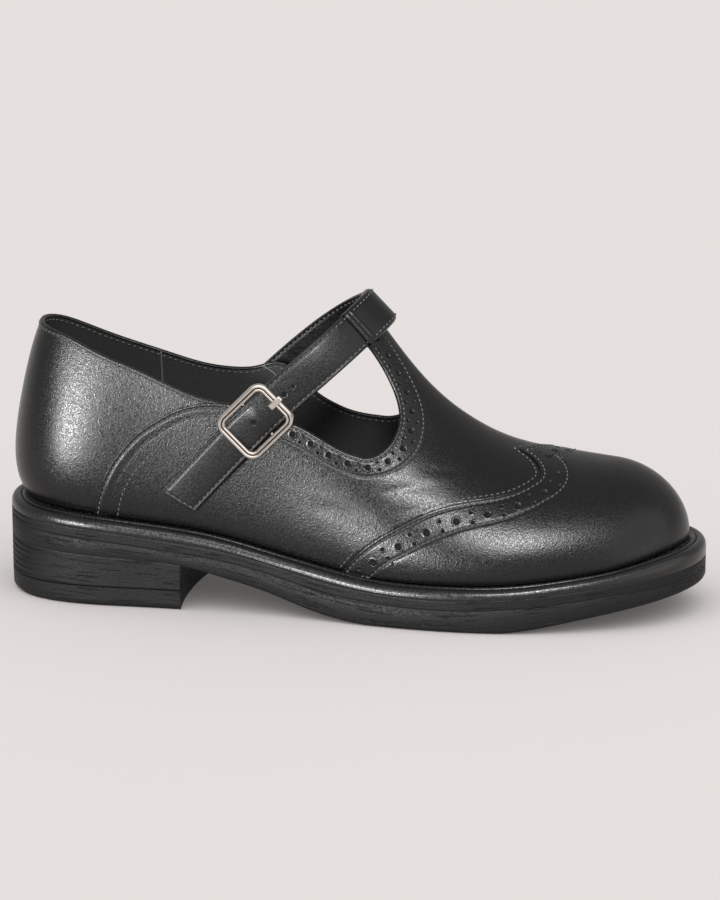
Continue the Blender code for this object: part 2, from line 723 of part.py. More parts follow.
def rounded_outline(length, width, radius):
    """Corners of a rounded rectangle, as arcs."""
    points = []
    for turn, (u, a) in enumerate(((1, 1), (-1, 1), (-1, -1), (1, -1))):
        middle = (u * (length / 2 - radius), a * (width / 2 - radius))
        for step in range(CORNER_STEPS + 1):
            angle = math.radians(90 * (turn + step / CORNER_STEPS))
            points.append((middle[0] + radius * math.cos(angle), middle[1] + radius * math.sin(angle)))
    return points


def buckle_frame():
    """A rounded frame over the strap, with a hinge bar that passes under the strap."""
    edge_cut = BUCKLE_HEIGHT / 4
    low = 2 * GAP
    high = low + BUCKLE_HEIGHT
    far = BUCKLE_BAR - edge_cut
    rows = ((0.0, low + edge_cut), (edge_cut, low), (far, low), (BUCKLE_BAR, low + edge_cut),
            (BUCKLE_BAR, high - edge_cut), (far, high), (edge_cut, high), (0.0, high - edge_cut))
    rings = []
    for inset, out in rows:
        radius = max(BUCKLE_CORNER - inset, BUCKLE_BAR / 2)
        outline = rounded_outline(BUCKLE_LENGTH - 2 * inset, BUCKLE_WIDTH - 2 * inset, radius)
        rings.append([buckle_point(u, a, out) for u, a in outline])
    obj = stack("buckle_frame", rings, NICKEL, tube=True)

    leg = BUCKLE_WIDTH / 2 - 0.6 * BUCKLE_BAR
    inner = STRAP_WIDTH / 2 + 1.5 * GAP
    bottom = -STRAP_THICKNESS - GAP - HINGE_BAR
    top = low + BUCKLE_HEIGHT / 2
    bar_top = bottom + HINGE_BAR
    profile = ((-leg, bottom), (leg, bottom), (leg, top), (inner, top), (inner, bar_top),
               (-inner, bar_top), (-inner, top), (-leg, top))
    bm = bmesh.new()
    sides = []
    for u in (-HINGE_BAR / 2, HINGE_BAR / 2):
        sides.append([bm.verts.new(buckle_point(u, a, z)) for a, z in profile])
    bridge(bm, *sides)
    for ring in sides:
        bm.faces.new(ring)
    bmesh.ops.recalc_face_normals(bm, faces=bm.faces)
    hinge = finish("hinge_bar", bm, NICKEL)
    hinge.hide_render = True
    hinge.display_type = "WIRE"
    joined = obj.modifiers.new("hinge_bar", "BOOLEAN")
    joined.operation = "UNION"
    joined.object = hinge


def buckle_prong():
    """A bent strip from the hinge bar under the strap, up through its slot and over the frame's upper bar."""
    half = PRONG_THICKNESS / 2
    start = HINGE_BAR / 2 + GAP
    tip = BUCKLE_LENGTH / 2 + PRONG_THICKNESS
    under = -STRAP_THICKNESS - 2 * GAP - PRONG_THICKNESS
    over = 3 * GAP + BUCKLE_HEIGHT
    lower = ((start, under), (PRONG_SLOT + half, under), (PRONG_SLOT + half, over), (tip, over))
    higher = ((start, under + PRONG_THICKNESS), (PRONG_SLOT - half, under + PRONG_THICKNESS),
              (PRONG_SLOT - half, over + PRONG_THICKNESS), (tip, over + PRONG_THICKNESS))
    rings = []
    for (low_up, low_out), (high_up, high_out) in zip(lower, higher):
        rings.append([
            buckle_point(low_up, -PRONG_WIDTH / 2, low_out),
            buckle_point(low_up, PRONG_WIDTH / 2, low_out),
            buckle_point(high_up, PRONG_WIDTH / 2, high_out),
            buckle_point(high_up, -PRONG_WIDTH / 2, high_out),
        ])
    return stack("buckle_prong", rings, NICKEL)


def main():
    for obj in list(bpy.data.objects):
        bpy.data.objects.remove(obj, do_unlink=True)
    outsole()
    midsole()
    welt()
    insole()
    heel()
    upper()
    strap()
    strap_loop()
    buckle_frame()
    buckle_prong()


main()
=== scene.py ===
"""Looks of a strap flat shoe: leather upper with brogue holes and stitches, buckle, rubber sole, studio.

Sizes are in millimetres until a mesh is made. The toe points along +X and the buckle faces -Y.
Side -1 is the shoe's outer side, +1 its inner one.
"""

import json
import math
from collections import namedtuple

import bpy
import numpy as np
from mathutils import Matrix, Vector
from mathutils.kdtree import KDTree

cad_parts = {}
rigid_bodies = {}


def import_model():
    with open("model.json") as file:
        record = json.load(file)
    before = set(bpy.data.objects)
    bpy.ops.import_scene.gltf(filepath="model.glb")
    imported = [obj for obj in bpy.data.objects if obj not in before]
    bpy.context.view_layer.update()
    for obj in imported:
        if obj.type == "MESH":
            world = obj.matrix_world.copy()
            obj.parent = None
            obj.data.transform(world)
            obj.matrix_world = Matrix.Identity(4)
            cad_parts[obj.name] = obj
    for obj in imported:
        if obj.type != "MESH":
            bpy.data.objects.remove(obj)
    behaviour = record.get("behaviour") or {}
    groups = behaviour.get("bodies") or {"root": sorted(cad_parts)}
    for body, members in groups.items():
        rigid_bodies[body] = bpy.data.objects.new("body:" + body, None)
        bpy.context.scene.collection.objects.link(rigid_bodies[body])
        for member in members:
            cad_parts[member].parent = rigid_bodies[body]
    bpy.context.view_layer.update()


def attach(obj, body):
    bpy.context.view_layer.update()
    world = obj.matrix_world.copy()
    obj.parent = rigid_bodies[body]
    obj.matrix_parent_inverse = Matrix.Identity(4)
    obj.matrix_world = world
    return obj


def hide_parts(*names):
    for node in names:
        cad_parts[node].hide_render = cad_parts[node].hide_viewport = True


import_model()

MM = 0.001
GAP = 0.3
SIDES = (-1, 1)

# Sizes shared with the solids
SOLE_LENGTH = 270.0
HEEL_END = -SOLE_LENGTH / 2
TOE_END = SOLE_LENGTH / 2
TOE_SHIFT = 4.0
WELT_LEDGE = 6.0
WELT_INNER = 11.0
MIDSOLE_THICKNESS = 3.9
BREAST_STATION = -62.5
BREAST_HOLLOW = 3.0
TOP_LIFT_HEIGHT = 7.8
INSOLE_THICKNESS = 2.6
TREAD_BEVEL = 1.6
SEAM_CHAMFER = 0.18
SEAM_DROP = 0.35
UPPER_WALL = 2.0
HEEL_AXIS = -99.0
TOE_AXIS = 96.0
AXIS_BLEND = 6.0
BACK_HEIGHT = 68.0
NOTCH_LOW = 8.0
NOTCH_FRONT_HEIGHT = 75.0
BAR_TOP = 3.0
BAR_HALF_WIDTH = 12.6
BAR_FLARE = 7.0
STRAP_WIDTH = 13.0
STRAP_THICKNESS = 2.2
STRAP_CROWN = 7.0
STRAP_RAKE = 44.2
STRAP_OUTER_DROP = 99.9
STRAP_INNER_DROP = 58.0
LOOP_FLOOR = 1.2
BUCKLE_HEIGHT = 2.2
BUCKLE_CORNER = 5.0
HINGE_BAR = 1.3
PRONG_THICKNESS = 1.3
PRONG_SLOT = 8.4

# Sizes that follow the photo more closely than the solids do
TOE_SET_BACK = 1.5
TOE_SET_BACK_START = 100.0
RIDGE_FADE = 24             # power that ends the swell of the sides at the ridge
NOTCH_FRONT = 20.2
LOOP_WALL = 0.7
LOOP_SIDE = 0.45
LOOP_OUTER_LENGTH = 16.8
LOOP_INNER_LENGTH = 5.7
BUCKLE_DROP = 53.2
BUCKLE_LENGTH = 25.2
BUCKLE_WIDTH = 21.8
PRONG_SHOWN_WIDTH = 2.4

# Leather work: thin panels over each other, their stitches and holes
HEEL_PANEL_LIFT = -0.1      # face of the heel panel, over the last's own face
VAMP_PANEL_LIFT = 0.4       # quarters and vamp, which lap over the heel panel
CAP_PANEL_LIFT = 0.9        # wing tip, which laps over the vamp
BAND_HOLLOW = -0.7          # the upper is drawn in this far under the punched bands
BAND_UNDER = -0.75
BAND_TUCK = 0.5             # drop of a band's far edge into the upper
SHOWN_WALL = 1.4            # thickness of leather and lining where their edge shows
PANEL_EDGE_ROUND = 0.35
PANEL_EDGE_WIDTH = 6.4
LIP_FOOT = 0.3              # a panel's lip starts this far under the leather that it laps over
PANEL_SEARCH = 14.0         # leather this near to a panel's edge may change its height
WING_SEARCH = 40.0
PANEL_STITCH = 1.6          # distances of stitch rows from their edges
COLLAR_STITCH = 1.4
WING_STITCH = 1.6
VAMP_STITCH = -1.5          # row beside the wing tip, on the vamp
THROAT_STITCH = 1.1
STRAP_STITCH = 1.3
LOOP_STITCH = 1.6
BAND_STEP = 0.24            # mesh step on the punched bands
LINE_STEP = 0.4             # step of points on the lines of the pattern
STITCH_PITCH = 2.2
THROAT_PITCH = 1.95
LONG_PITCH = 2.4            # stitches of strap and lining
STITCH_LENGTH = 1.55
STITCH_WIDTH = 0.6
STITCH_HEIGHT = 0.6
STITCH_SLANT = 0.12
STITCH_STAND = 0.14         # stitches stand this far over the bottom of their trough
TROUGH_DEPTH = 0.22
TROUGH_SHADE = 0.35         # painted shade: how much darker the leather is coloured in the trough between them
HOLE_DEPTH = 0.85
HOLE_RIM = 0.1
BIG_HOLE = 1.2              # radii of the brogue holes
SMALL_HOLE = 0.66
WING_BAND = 9.6             # usual width of the wing tip's band
WING_OVERLAP = 1.2
WING_HOLE_PITCH = 12.0
WING_HOLE_START = 10.6
WING_HOLE_SHARES = (0.61, 0.42, 0.78)   # big holes, and the two rows of small ones
MITRE_REACH = 12.0          # near its peak the band's rows turn along the shoe
THROAT_START = -34.0
THROAT_BAND = 6.8           # width of the band round the cut-outs
THROAT_WIDEN = 0.38         # it is wider by this share beside the T-bar
THROAT_WIDEN_REACH = 16.0
THROAT_HOLE_PITCH = 7.88
THROAT_HOLE_START = 0.9
THROAT_HOLE_SHARES = (0.42, 0.26, 0.60)
THROAT_HOLE_SCALE = 0.84
LINING_SEAM_RADIUS = 0.35
LINING_SEAM_POINTS = 60
RIB_PITCH = 2.3             # ribs on the heel's back
RIB_DEPTH = 0.6
SEAM_GAP = 0.03             # the sole's layers are moulded on each other
BREAST_FLARE = 4.2          # the heel's front runs further forward on the inner side
BREAST_RAMP = 8             # power that keeps flare and hollow near the front
TREAD_BORDER = 7.0
TREAD_PITCH = 5.0
TREAD_DEPTH = 0.8
SOCK_ROUND = 0.6
STRAP_FACE = 14.8           # shown width of the strap
STRAP_STEP = 0.3            # mesh step along it
STRAP_SLANT = 3.0           # its outer end is cut at a slant
STRAP_SLANT_REACH = 14.0
STRAP_EDGE = 0.6            # radius of the strap's painted edge
STRAP_CORNER = 1.6
STRAP_BULGE = 0.9           # it bulges over the hinge bar
STRAP_DOME = 0.4
LOOP_LIP = 0.5
LOOP_ROUND = 2.0
LOOP_PIPES = (0.5, 2.2)     # piped ridges, from the loop's outer end
LOOP_PIPE_HEIGHT = 0.35
GROOVE_INSET = 1.7          # groove between the two beads of the buckle's bars

# Camera and light
CAMERA_PLACE = (227.7, -1426.5, 444.3)
CAMERA_TARGET = (1.09, 4.53, 56.07)
CAMERA_LENS = 155.7
SENSOR = 36.0
WORLD_LIGHT = 0.5


def table(name, columns, *rows):
    """Rows of values with named columns."""
    row = namedtuple(name, columns)
    return tuple(row(*values) for values in rows)


# Far softboxes: turn from the front towards the toe, rise over the floor, power, spread, and what they light
LIGHT_ROWS = table(
    "LightRow", "name turn rise power spread lights",
    ("top_softbox", 9, 65, 1.48, 90, "floor"),
    ("fill_softbox", 0, 82, 0.3, 36, "fill"),
    ("front_softbox", 9, 36, 3.3, 18, "leather"),
    ("heel_softbox", -30, 5, 3.9, 14, "leather"),
    ("toe_softbox", 70, 15, 0.8, 70, "leather"),
    ("buckle_softbox", 10, 42, 1.7, 80, "buckle"),
)

# Section of the folded rim: inset from the edge into the leather, and height over the leather's face
FOLD_ROWS = table(
    "FoldRow", "inset height",
    (2.5, -0.5), (2.3, -0.02), (1.9, 0.0), (1.6, -0.02), (1.1, 0.1), (0.6, 0.2), (0.25, 0.16), (0.0, 0.0),
    (-0.16, -0.25), (-0.24, -0.55), (-0.24, -0.85), (-0.12, -1.15), (0.1, -1.36), (0.35, -1.46),
    (0.65, -1.48), (0.85, -1.4), (0.9, -1.1),
)

# Seams of the lining from the top edge down: station at both ends, and the lower end's climb
LINING_SEAM_ROWS = table(
    "LiningSeamRow", "side station end_station end_climb",
    (1, -80.5, -80.5, 0.05), (-1, -80.5, -80.5, 0.05), (1, -40.5, -27.0, 0.40),
)

# Section of the buckle's bars: two beads with a groove between them
FRAME_ROWS = table(
    "FrameRow", "inset height",
    (0.35, 0.0), (0.08, 0.4), (0.0, 0.95), (0.12, 1.5), (0.45, 1.95), (0.9, 2.18), (1.3, 2.08), (1.58, 1.75),
    (GROOVE_INSET, 1.4), (1.82, 1.75), (2.05, 2.0), (2.4, 2.05), (2.75, 1.85), (2.98, 1.45), (3.05, 0.9),
    (2.95, 0.35), (2.7, 0.0),
)

# Holes in the strap: their place up from the buckle's middle, and radius
STRAP_HOLE_ROWS = table("StrapHoleRow", "up radius", (-1.0, 0.95), (14.4, 0.9), (18.8, 0.65))

# The sole's edge: half widths at stations along the shoe
SOLE_ROWS = table(
    "SoleRow", "station lateral medial",
    (-125, 23.5, 23.5), (-105, 32.0, 32.0), (-80, 33.3, 33.0), (-50, 34.4, 31.5), (-20, 37.2, 31.5),
    (10, 42.4, 37.0), (38, 45.8, 43.2), (60, 45.4, 46.0), (82, 41.5, 44.8),
    (105, 33.8, 39.5), (122, 23.0, 31.0),
)

# Heights of the sole: welt top, joint over the outsole, and tread, which is held at the floor
HEIGHT_ROWS = table(
    "HeightRow", "station ledge joint tread",
    (-135, 37.4, 28.6, 22.0), (-97, 34.7, 26.2, 20.0), (-74, 32.6, 23.8, 18.9), (-60, 31.2, 22.3, 17.4),
    (-45, 28.8, 20.4, 13.6), (-31, 25.6, 17.6, 9.9), (-9, 20.9, 12.2, 3.0), (12, 17.6, 9.5, -0.1),
    (40, 16.9, 8.5, -0.6), (65, 17.8, 9.7, 0.3), (89, 20.5, 12.2, 4.4), (105, 22.9, 14.1, 7.2),
    (119, 25.8, 15.2, 9.5), (135, 27.4, 16.6, 11.6),
)

# The welt's section from its outer foot over its shoulder to the bead beside the upper
WELT_ROWS = table(
    "WeltRow", "inset below_ledge",
    (0.0, 3.6), (0.1, 2.7), (0.42, 1.8), (0.95, 1.1), (1.7, 0.62), (2.6, 0.42), (3.2, 0.52), (3.55, 0.8),
    (3.75, 1.1), (3.95, 0.8), (4.25, 0.36), (4.7, 0.14), (5.2, 0.16), (5.6, 0.45), (WELT_INNER, 0.85),
)

# Sections of the last at stations of its feather edge
LAST_ROWS = table(
    "LastRow", "station fullness swell swell_height lean",
    (-129, 2.6, 4.5, 18.0, 0.0), (-113, 2.6, 3.8, 18.0, 4.0), (-96, 2.6, 2.8, 18.0, 3.6),
    (-60, 2.6, 2.0, 16.0, 0.8), (-30, 2.3, 1.6, 16.0, 0.0), (0, 1.75, 1.6, 15.0, 0.0),
    (25, 1.62, 1.8, 14.0, 0.0), (45, 1.7, 2.0, 13.0, 0.0), (70, 1.9, 1.8, 12.0, 0.0),
    (100, 2.0, 1.0, 11.0, 0.0), (129, 2.0, 0.4, 10.0, 0.0),
)

# Ridge of the last: its height, and its place between the outer and inner side
RIDGE_ROWS = table(
    "RidgeRow", "station height middle",
    (-99, 124.0, 0.0), (-60, 132.0, 0.0), (-30, 134.0, 0.0), (-10, 127.0, 0.4), (4, 114.5, 0.8),
    (16, 98.8, 1.3), (28, 84.2, 2.2), (45, 70.2, 3.6), (57, 63.8, 4.6),
    (69, 60.1, 5.5), (82, 57.6, 6.4), (97, 55.4, 7.0),
)

# Top edge of the quarters at stations of the feather edge
TOP_ROWS = table(
    "TopRow", "station lateral medial",
    (-129, 105.6, 105.6), (-110, 101.8, 98.4), (-93, 95.9, 92.4), (-79, 91.0, 88.0), (-62, 84.2, 83.4),
    (-50, 81.2, 82.5), (-42, 80.3, 83.4), (-35, 79.2, 85.4), (-29, 77.3, 83.4), (-24, 75.6, 78.8),
    (-19, 73.8, 73.8), (-13, 71.2, 69.9), (-6, 67.3, 66.8), (0, 64.4, 65.4), (8, 62.0, 64.6),
)

# The strap by its drop below the crown: lift off the last, and each leg's bend towards the heel
STRAP_ROWS = table(
    "StrapRow", "drop lift outer_bend inner_bend",
    (0, LOOP_FLOOR + 2 * GAP, 0.6, 0.6), (18, LOOP_FLOOR + 2 * GAP, 1.5, 4.0), (36, 1.6, 2.4, 5.6),
    (BUCKLE_DROP, HINGE_BAR + 3 * GAP, 2.6, 6.0), (72, 0.8, 1.8, 6.0), (STRAP_OUTER_DROP, GAP, 0.0, 6.0),
)

# Edge of the wing tip from the outer feather edge to its peak: climb is the share of the way to the ridge,
# and width is that of its perforated band
WING_ROWS = table(
    "WingRow", "station climb width",
    (0.7, 0.0, 9.2), (10.0, 0.117, 9.4), (23.0, 0.244, 9.9), (37.0, 0.370, 10.2), (52.0, 0.459, 9.4),
    (64.5, 0.533, 8.9), (70.0, 0.597, 9.2), (73.1, 0.672, 10.2), (72.2, 0.738, 10.4), (68.6, 0.825, 10.0),
    (63.5, 0.888, 9.2),
)

# Front edge of the heel panel, from the feather edge up to the top edge
HEEL_PANEL_ROWS = table(
    "PanelRow", "station climb",
    (-97.0, 0.0), (-94.3, 0.099), (-91.5, 0.172), (-88.0, 0.233), (-83.5, 0.289), (-79.0, 0.331),
    (-72.5, 0.373), (-66.5, 0.404), (-59.0, 0.429), (-50.0, 0.441), (-43.0, 0.443),
)

# Second row of stitches in front of that edge
SECOND_ROW_ROWS = table(
    "SecondRow", "station climb",
    (-87.6, 0.004), (-85.0, 0.100), (-79.5, 0.195), (-74.6, 0.247), (-67.8, 0.305), (-59.0, 0.339),
    (-50.0, 0.351), (-40.0, 0.350),
)

# Soft creases where the vamp bends: two ends on the outer face, depth and half width
CREASE_ROWS = table(
    "CreaseRow", "station climb end_station end_climb depth half_width",
    (14.0, 0.34, 34.0, 0.47, 0.22, 2.4), (18.0, 0.27, 40.0, 0.40, 0.18, 2.2),
    (30.0, 0.52, 44.0, 0.60, 0.15, 2.4), (-12.0, 0.20, 14.0, 0.22, 0.20, 3.4),
)


# Shape of the last and the sole, by the same rules as the solids

def column(rows, name):
    return np.array([getattr(row, name) for row in rows], float)


def spline(knots, values, at):
    """Natural cubic curve through values at knots, held past both ends."""
    step = np.diff(knots)
    rise = np.diff(values) / step
    system = np.eye(len(knots))
    right = np.zeros(len(knots))
    for i in range(1, len(knots) - 1):
        system[i, i - 1:i + 2] = step[i - 1], 2 * (step[i - 1] + step[i]), step[i]
        right[i] = 6 * (rise[i] - rise[i - 1])
    bend = np.linalg.solve(system, right)
    at = np.clip(at, knots[0], knots[-1])
    i = np.clip(np.searchsorted(knots, at) - 1, 0, len(step) - 1)
    ahead = knots[i + 1] - at
    behind = at - knots[i]
    low = (values[i] / step[i] - bend[i] * step[i] / 6) * ahead
    high = (values[i + 1] / step[i] - bend[i + 1] * step[i] / 6) * behind
    return low + high + (bend[i] * ahead ** 3 + bend[i + 1] * behind ** 3) / (6 * step[i])


def read(rows, name, at):
    """A table's column as a smooth function of its first column."""
    return spline(column(rows, rows[0]._fields[0]), column(rows, name), np.asarray(at, float))


def smooth(low, high, at):
    """Rises from 0 at low to 1 at high with soft ends."""
    share = np.clip((np.asarray(at, float) - low) / (high - low), 0, 1)
    return share * share * (3 - 2 * share)


def bell(at, half_width):
    """Falls from 1 at nought to almost nothing past two half widths."""
    return np.exp(-(at / half_width) ** 2)


def unit(vectors):
    return vectors / np.maximum(np.linalg.norm(vectors, axis=-1, keepdims=True), 1e-12)


def dot(one, other):
    return np.sum(one * other, axis=-1)


def arc_lengths(points):
    return np.concatenate([[0.0], np.cumsum(np.linalg.norm(np.diff(points, axis=0), axis=1))])


def along_row(at, way, values):
    """A row of points or directions, read at distances along it."""
    return np.stack([np.interp(at, way, values[:, k]) for k in range(3)], axis=-1)


def edge_knots():
    """The sole's edge from the heel along the outer side to the toe and back, three times round."""
    outer = [(row.station, -row.lateral) for row in SOLE_ROWS]
    inner = [(row.station, row.medial) for row in reversed(SOLE_ROWS)]
    points = np.array([(HEEL_END, 0.0), *outer, (TOE_END, TOE_SHIFT), *inner])
    chords = np.linalg.norm(np.roll(points, -1, axis=0) - points, axis=1)
    starts = np.concatenate([[0.0], np.cumsum(chords)])
    lap = starts[-1]
    lengths = np.concatenate([starts[:-1] - lap, starts[:-1], starts[:-1] + lap])
    return np.tile(points, (3, 1)), lengths, starts[len(SOLE_ROWS) + 1], lap


EDGE_POINTS, EDGE_LENGTHS, TOE_LENGTH, LAP = edge_knots()
HEEL_LENGTH = {-1: 0.0, 1: LAP}
EDGE_PROBE = 0.2


def edge(length, inset):
    """Points at a length along the sole's edge, moved in by an inset."""
    length = np.asarray(length, float)
    centre, ahead = (np.stack([spline(EDGE_LENGTHS, EDGE_POINTS[:, k], at) for k in (0, 1)], axis=-1)
                     for at in (length, length + EDGE_PROBE))
    along = unit(ahead - centre)
    inward = np.stack([-along[..., 1], along[..., 0]], axis=-1)
    return centre + np.asarray(inset, float)[..., None] * inward


def station_at(length):
    """Station of the feather edge at a length along the sole's edge."""
    return edge(length, WELT_LEDGE)[..., 0]


def station_table(side, inset):
    lengths = np.linspace(HEEL_LENGTH[side], TOE_LENGTH, 2400)
    return np.maximum.accumulate(edge(lengths, inset)[:, 0]), lengths


FEATHER = {side: station_table(side, WELT_LEDGE) for side in SIDES}


def length_at(station, side):
    """Length along the edge where the feather edge passes a station."""
    return np.interp(station, *FEATHER[side])


def tread(x):
    return np.maximum(read(HEIGHT_ROWS, "tread", x), 0.0)


def ledge(x):
    return read(HEIGHT_ROWS, "ledge", x)


def joint(x):
    return read(HEIGHT_ROWS, "joint", x)


def welt_base(x):
    return joint(x) + MIDSOLE_THICKNESS


def soft_step(distance):
    return AXIS_BLEND * np.log1p(np.exp(np.clip(distance / AXIS_BLEND, -40, 40)))


def axis_at(station):
    """Where a section meets the ridge: at its own station, held back at heel and toe."""
    return HEEL_AXIS + soft_step(station - HEEL_AXIS) - soft_step(station - TOE_AXIS)


Section = namedtuple("Section", "foot inward reach base height station fullness")


def section(length):
    """The last's section over a place on the edge."""
    foot = edge(length, WELT_LEDGE)
    station = foot[..., 0]
    axis = axis_at(station)
    middle = np.stack([axis, read(RIDGE_ROWS, "middle", axis)], axis=-1)
    reach = np.linalg.norm(middle - foot, axis=-1)
    base = ledge(station) + GAP
    height = read(RIDGE_ROWS, "height", axis) - base
    fullness = read(LAST_ROWS, "fullness", station)
    return Section(foot, (middle - foot) / reach[..., None], reach, base, height, station, fullness)


def last_point(length, angle):
    """The last's outer face: angle runs from 0 at the feather edge to a right angle at the ridge."""
    cut = section(length)
    power = 2 / cut.fullness
    rise = cut.height * np.sin(angle) ** power
    depth = cut.reach * (1 - np.maximum(np.cos(angle), 0.0) ** power)
    share = rise / read(LAST_ROWS, "swell_height", cut.station)
    under_ridge = 1 - np.sin(angle) ** RIDGE_FADE
    depth = depth - read(LAST_ROWS, "swell", cut.station) * share * np.exp(1 - share) * under_ridge
    depth = depth + read(LAST_ROWS, "lean", cut.station) * (rise / BACK_HEIGHT) ** 2 * np.cos(angle) ** 2
    set_back = smooth(TOE_SET_BACK_START, TOE_END - WELT_LEDGE, cut.station)
    depth = depth + TOE_SET_BACK * set_back * np.cos(angle)
    return np.concatenate([cut.foot + cut.inward * depth[..., None], (cut.base + rise)[..., None]], axis=-1)


def angle_at_height(length, z):
    cut = section(length)
    return np.arcsin(np.clip((z - cut.base) / cut.height, 0, 1) ** (cut.fullness / 2))


def angle_at_width(length, half_width):
    cut = section(length)
    return np.arccos(np.clip(half_width / cut.reach, 0, 1) ** (cut.fullness / 2))


def width_at_angle(length, angle):
    cut = section(length)
    return cut.reach * np.cos(angle) ** (2 / cut.fullness)


# Climb: the share of the way up the leather from the feather edge to the ridge

CLIMB_LENGTHS = 721
CLIMB_STEPS = 301
RIGHT_ANGLE = math.pi / 2


def climb_tables():
    lengths = np.linspace(0, LAP, CLIMB_LENGTHS)
    angles = np.linspace(0, RIGHT_ANGLE, CLIMB_STEPS)
    points = last_point(*np.meshgrid(lengths, angles, indexing="ij"))
    steps = np.linalg.norm(np.diff(points, axis=1), axis=2)
    way = np.concatenate([np.zeros((CLIMB_LENGTHS, 1)), np.cumsum(steps, axis=1)], axis=1)
    way = way / way[:, -1:]
    even = np.linspace(0, 1, CLIMB_STEPS)
    return way, np.array([np.interp(even, row, angles) for row in way])


CLIMB_OF_ANGLE, ANGLE_OF_CLIMB = climb_tables()


def look_up(values, length, share):
    """A table over the edge's length and a share from 0 to 1, read between its entries."""
    row = np.mod(length, LAP) / LAP * (CLIMB_LENGTHS - 1)
    place = np.clip(share, 0, 1) * (CLIMB_STEPS - 1)
    i = np.clip(row.astype(int), 0, CLIMB_LENGTHS - 2)
    j = np.clip(place.astype(int), 0, CLIMB_STEPS - 2)
    u = row - i
    v = place - j
    low = values[i, j] * (1 - v) + values[i, j + 1] * v
    high = values[i + 1, j] * (1 - v) + values[i + 1, j + 1] * v
    return low * (1 - u) + high * u


def climb_at(length, angle):
    return look_up(CLIMB_OF_ANGLE, np.asarray(length, float), np.asarray(angle, float) / RIGHT_ANGLE)


def wall(length, climb):
    """A place on the last by length along the edge and climb."""
    length, climb = np.broadcast_arrays(np.asarray(length, float), np.asarray(climb, float))
    return last_point(length, look_up(ANGLE_OF_CLIMB, length, climb))


def vamp(station, across):
    """A place on the last by station and by across, from -1 at the outer feather edge to +1 at the inner."""
    station, across = np.broadcast_arrays(np.asarray(station, float), np.asarray(across, float))
    length = np.where(across < 0, length_at(station, -1), length_at(station, 1))
    return wall(length, 1 - np.abs(across))


Skin = namedtuple("Skin", "place low high")
WALL = Skin(wall, 0.0, 1.0)
VAMP = Skin(vamp, -1.0, 1.0)
ALONG_PROBE = 0.3
CLIMB_PROBE = 0.004
MARCH_STEP = 0.8


def skin_frame(skin, a, b):
    """Place on a skin, its two slopes and its outward normal."""
    low = np.maximum(b - CLIMB_PROBE, skin.low)
    high = np.minimum(b + CLIMB_PROBE, skin.high)
    along = (skin.place(a + ALONG_PROBE, b) - skin.place(a - ALONG_PROBE, b)) / (2 * ALONG_PROBE)
    up = (skin.place(a, high) - skin.place(a, low)) / (high - low)[..., None]
    normal = np.cross(along, up)
    flat = np.linalg.norm(normal, axis=-1, keepdims=True) < 1e-9
    return skin.place(a, b), along, up, unit(np.where(flat, (0.0, 0.0, 1.0), normal))


def line_frame(skin, a, b, side):
    """Points of a line on a skin, their normals, and their headings from the line into the leather."""
    point, _, _, normal = skin_frame(skin, a, b)
    return point, normal, np.cross(normal, unit(np.gradient(point, axis=0))) * side


def raised(skin, a, b, height):
    """Points over a skin, with their normals."""
    point, _, _, normal = skin_frame(skin, a, b)
    return point + normal * np.asarray(height, float)[..., None], normal


def even_line(skin, a, b, step):
    """A line on a skin, given closely, with its places set an even step apart."""
    way = arc_lengths(skin.place(a, b))
    places = np.linspace(0, way[-1], max(3, int(round(way[-1] / step)) + 1))
    return np.interp(places, way, a), np.interp(places, way, b)


def drawn_line(skin, a, b, step):
    """A smooth line on a skin through a few places."""
    way = arc_lengths(skin.place(a, b))
    close = np.linspace(0, way[-1], 800)
    return even_line(skin, spline(way, a, close), spline(way, b, close), step)


def march(skin, a, b, heading, step, count):
    """Walks count steps over a skin from each place of a line, straight on from its heading."""
    rows = [(a, b)]
    for _ in range(count):
        point, _, _, normal = skin_frame(skin, a, b)
        heading = unit(heading - dot(heading, normal)[..., None] * normal)
        target = point + heading * step[:, None]
        for _ in range(2):
            point, along, up, _ = skin_frame(skin, a, b)
            miss = target - point
            aa, ab, bb = dot(along, along), dot(along, up), dot(up, up)
            ma, mb = dot(along, miss), dot(up, miss)
            base = aa * bb - ab * ab
            a = a + (ma * bb - mb * ab) / base
            b = np.clip(b + (mb * aa - ma * ab) / base, skin.low, skin.high)
        rows.append((a, b))
    return [np.array(values) for values in zip(*rows)]


def beside(skin, a, b, distances, scale, heading):
    """Places at distances from a line along its headings, as arrays of line by distance."""
    ahead = max(1, math.ceil(max(distances.max(), 0) / MARCH_STEP))
    behind = max(1, math.ceil(max(-distances.min(), 0) / MARCH_STEP))
    front = march(skin, a, b, heading, MARCH_STEP * scale, ahead)
    back = march(skin, a, b, -heading, MARCH_STEP * scale, behind)
    place = distances / MARCH_STEP + behind
    i = np.clip(place.astype(int), 0, ahead + behind - 1)
    share = (place - i)[:, None]
    rows = [np.vstack([rear[:0:-1], fore]) for rear, fore in zip(back, front)]
    return tuple((row[i] * (1 - share) + row[i + 1] * share).T for row in rows)


# Edges of the upper's openings

def top_height(station, side):
    """Height of the quarter's top edge, which rounds up to the front of the cut-out."""
    height = read(TOP_ROWS, "lateral" if side < 0 else "medial", station)
    share = np.clip((station - NOTCH_LOW) / (NOTCH_FRONT - NOTCH_LOW), 0, 1)
    return NOTCH_FRONT_HEIGHT - (NOTCH_FRONT_HEIGHT - height) * np.sqrt(1 - share ** 2)


def bar_half_width(station, side):
    """Half width of the T-bar, which flares out to the front of the cut-out."""
    front = length_at(NOTCH_FRONT, side)
    widest = float(width_at_angle(front, angle_at_height(front, NOTCH_FRONT_HEIGHT)))
    share = np.clip((station - BAR_FLARE) / (NOTCH_FRONT - BAR_FLARE), 0, 1)
    return widest - (widest - BAR_HALF_WIDTH) * np.sqrt(1 - share ** 2)


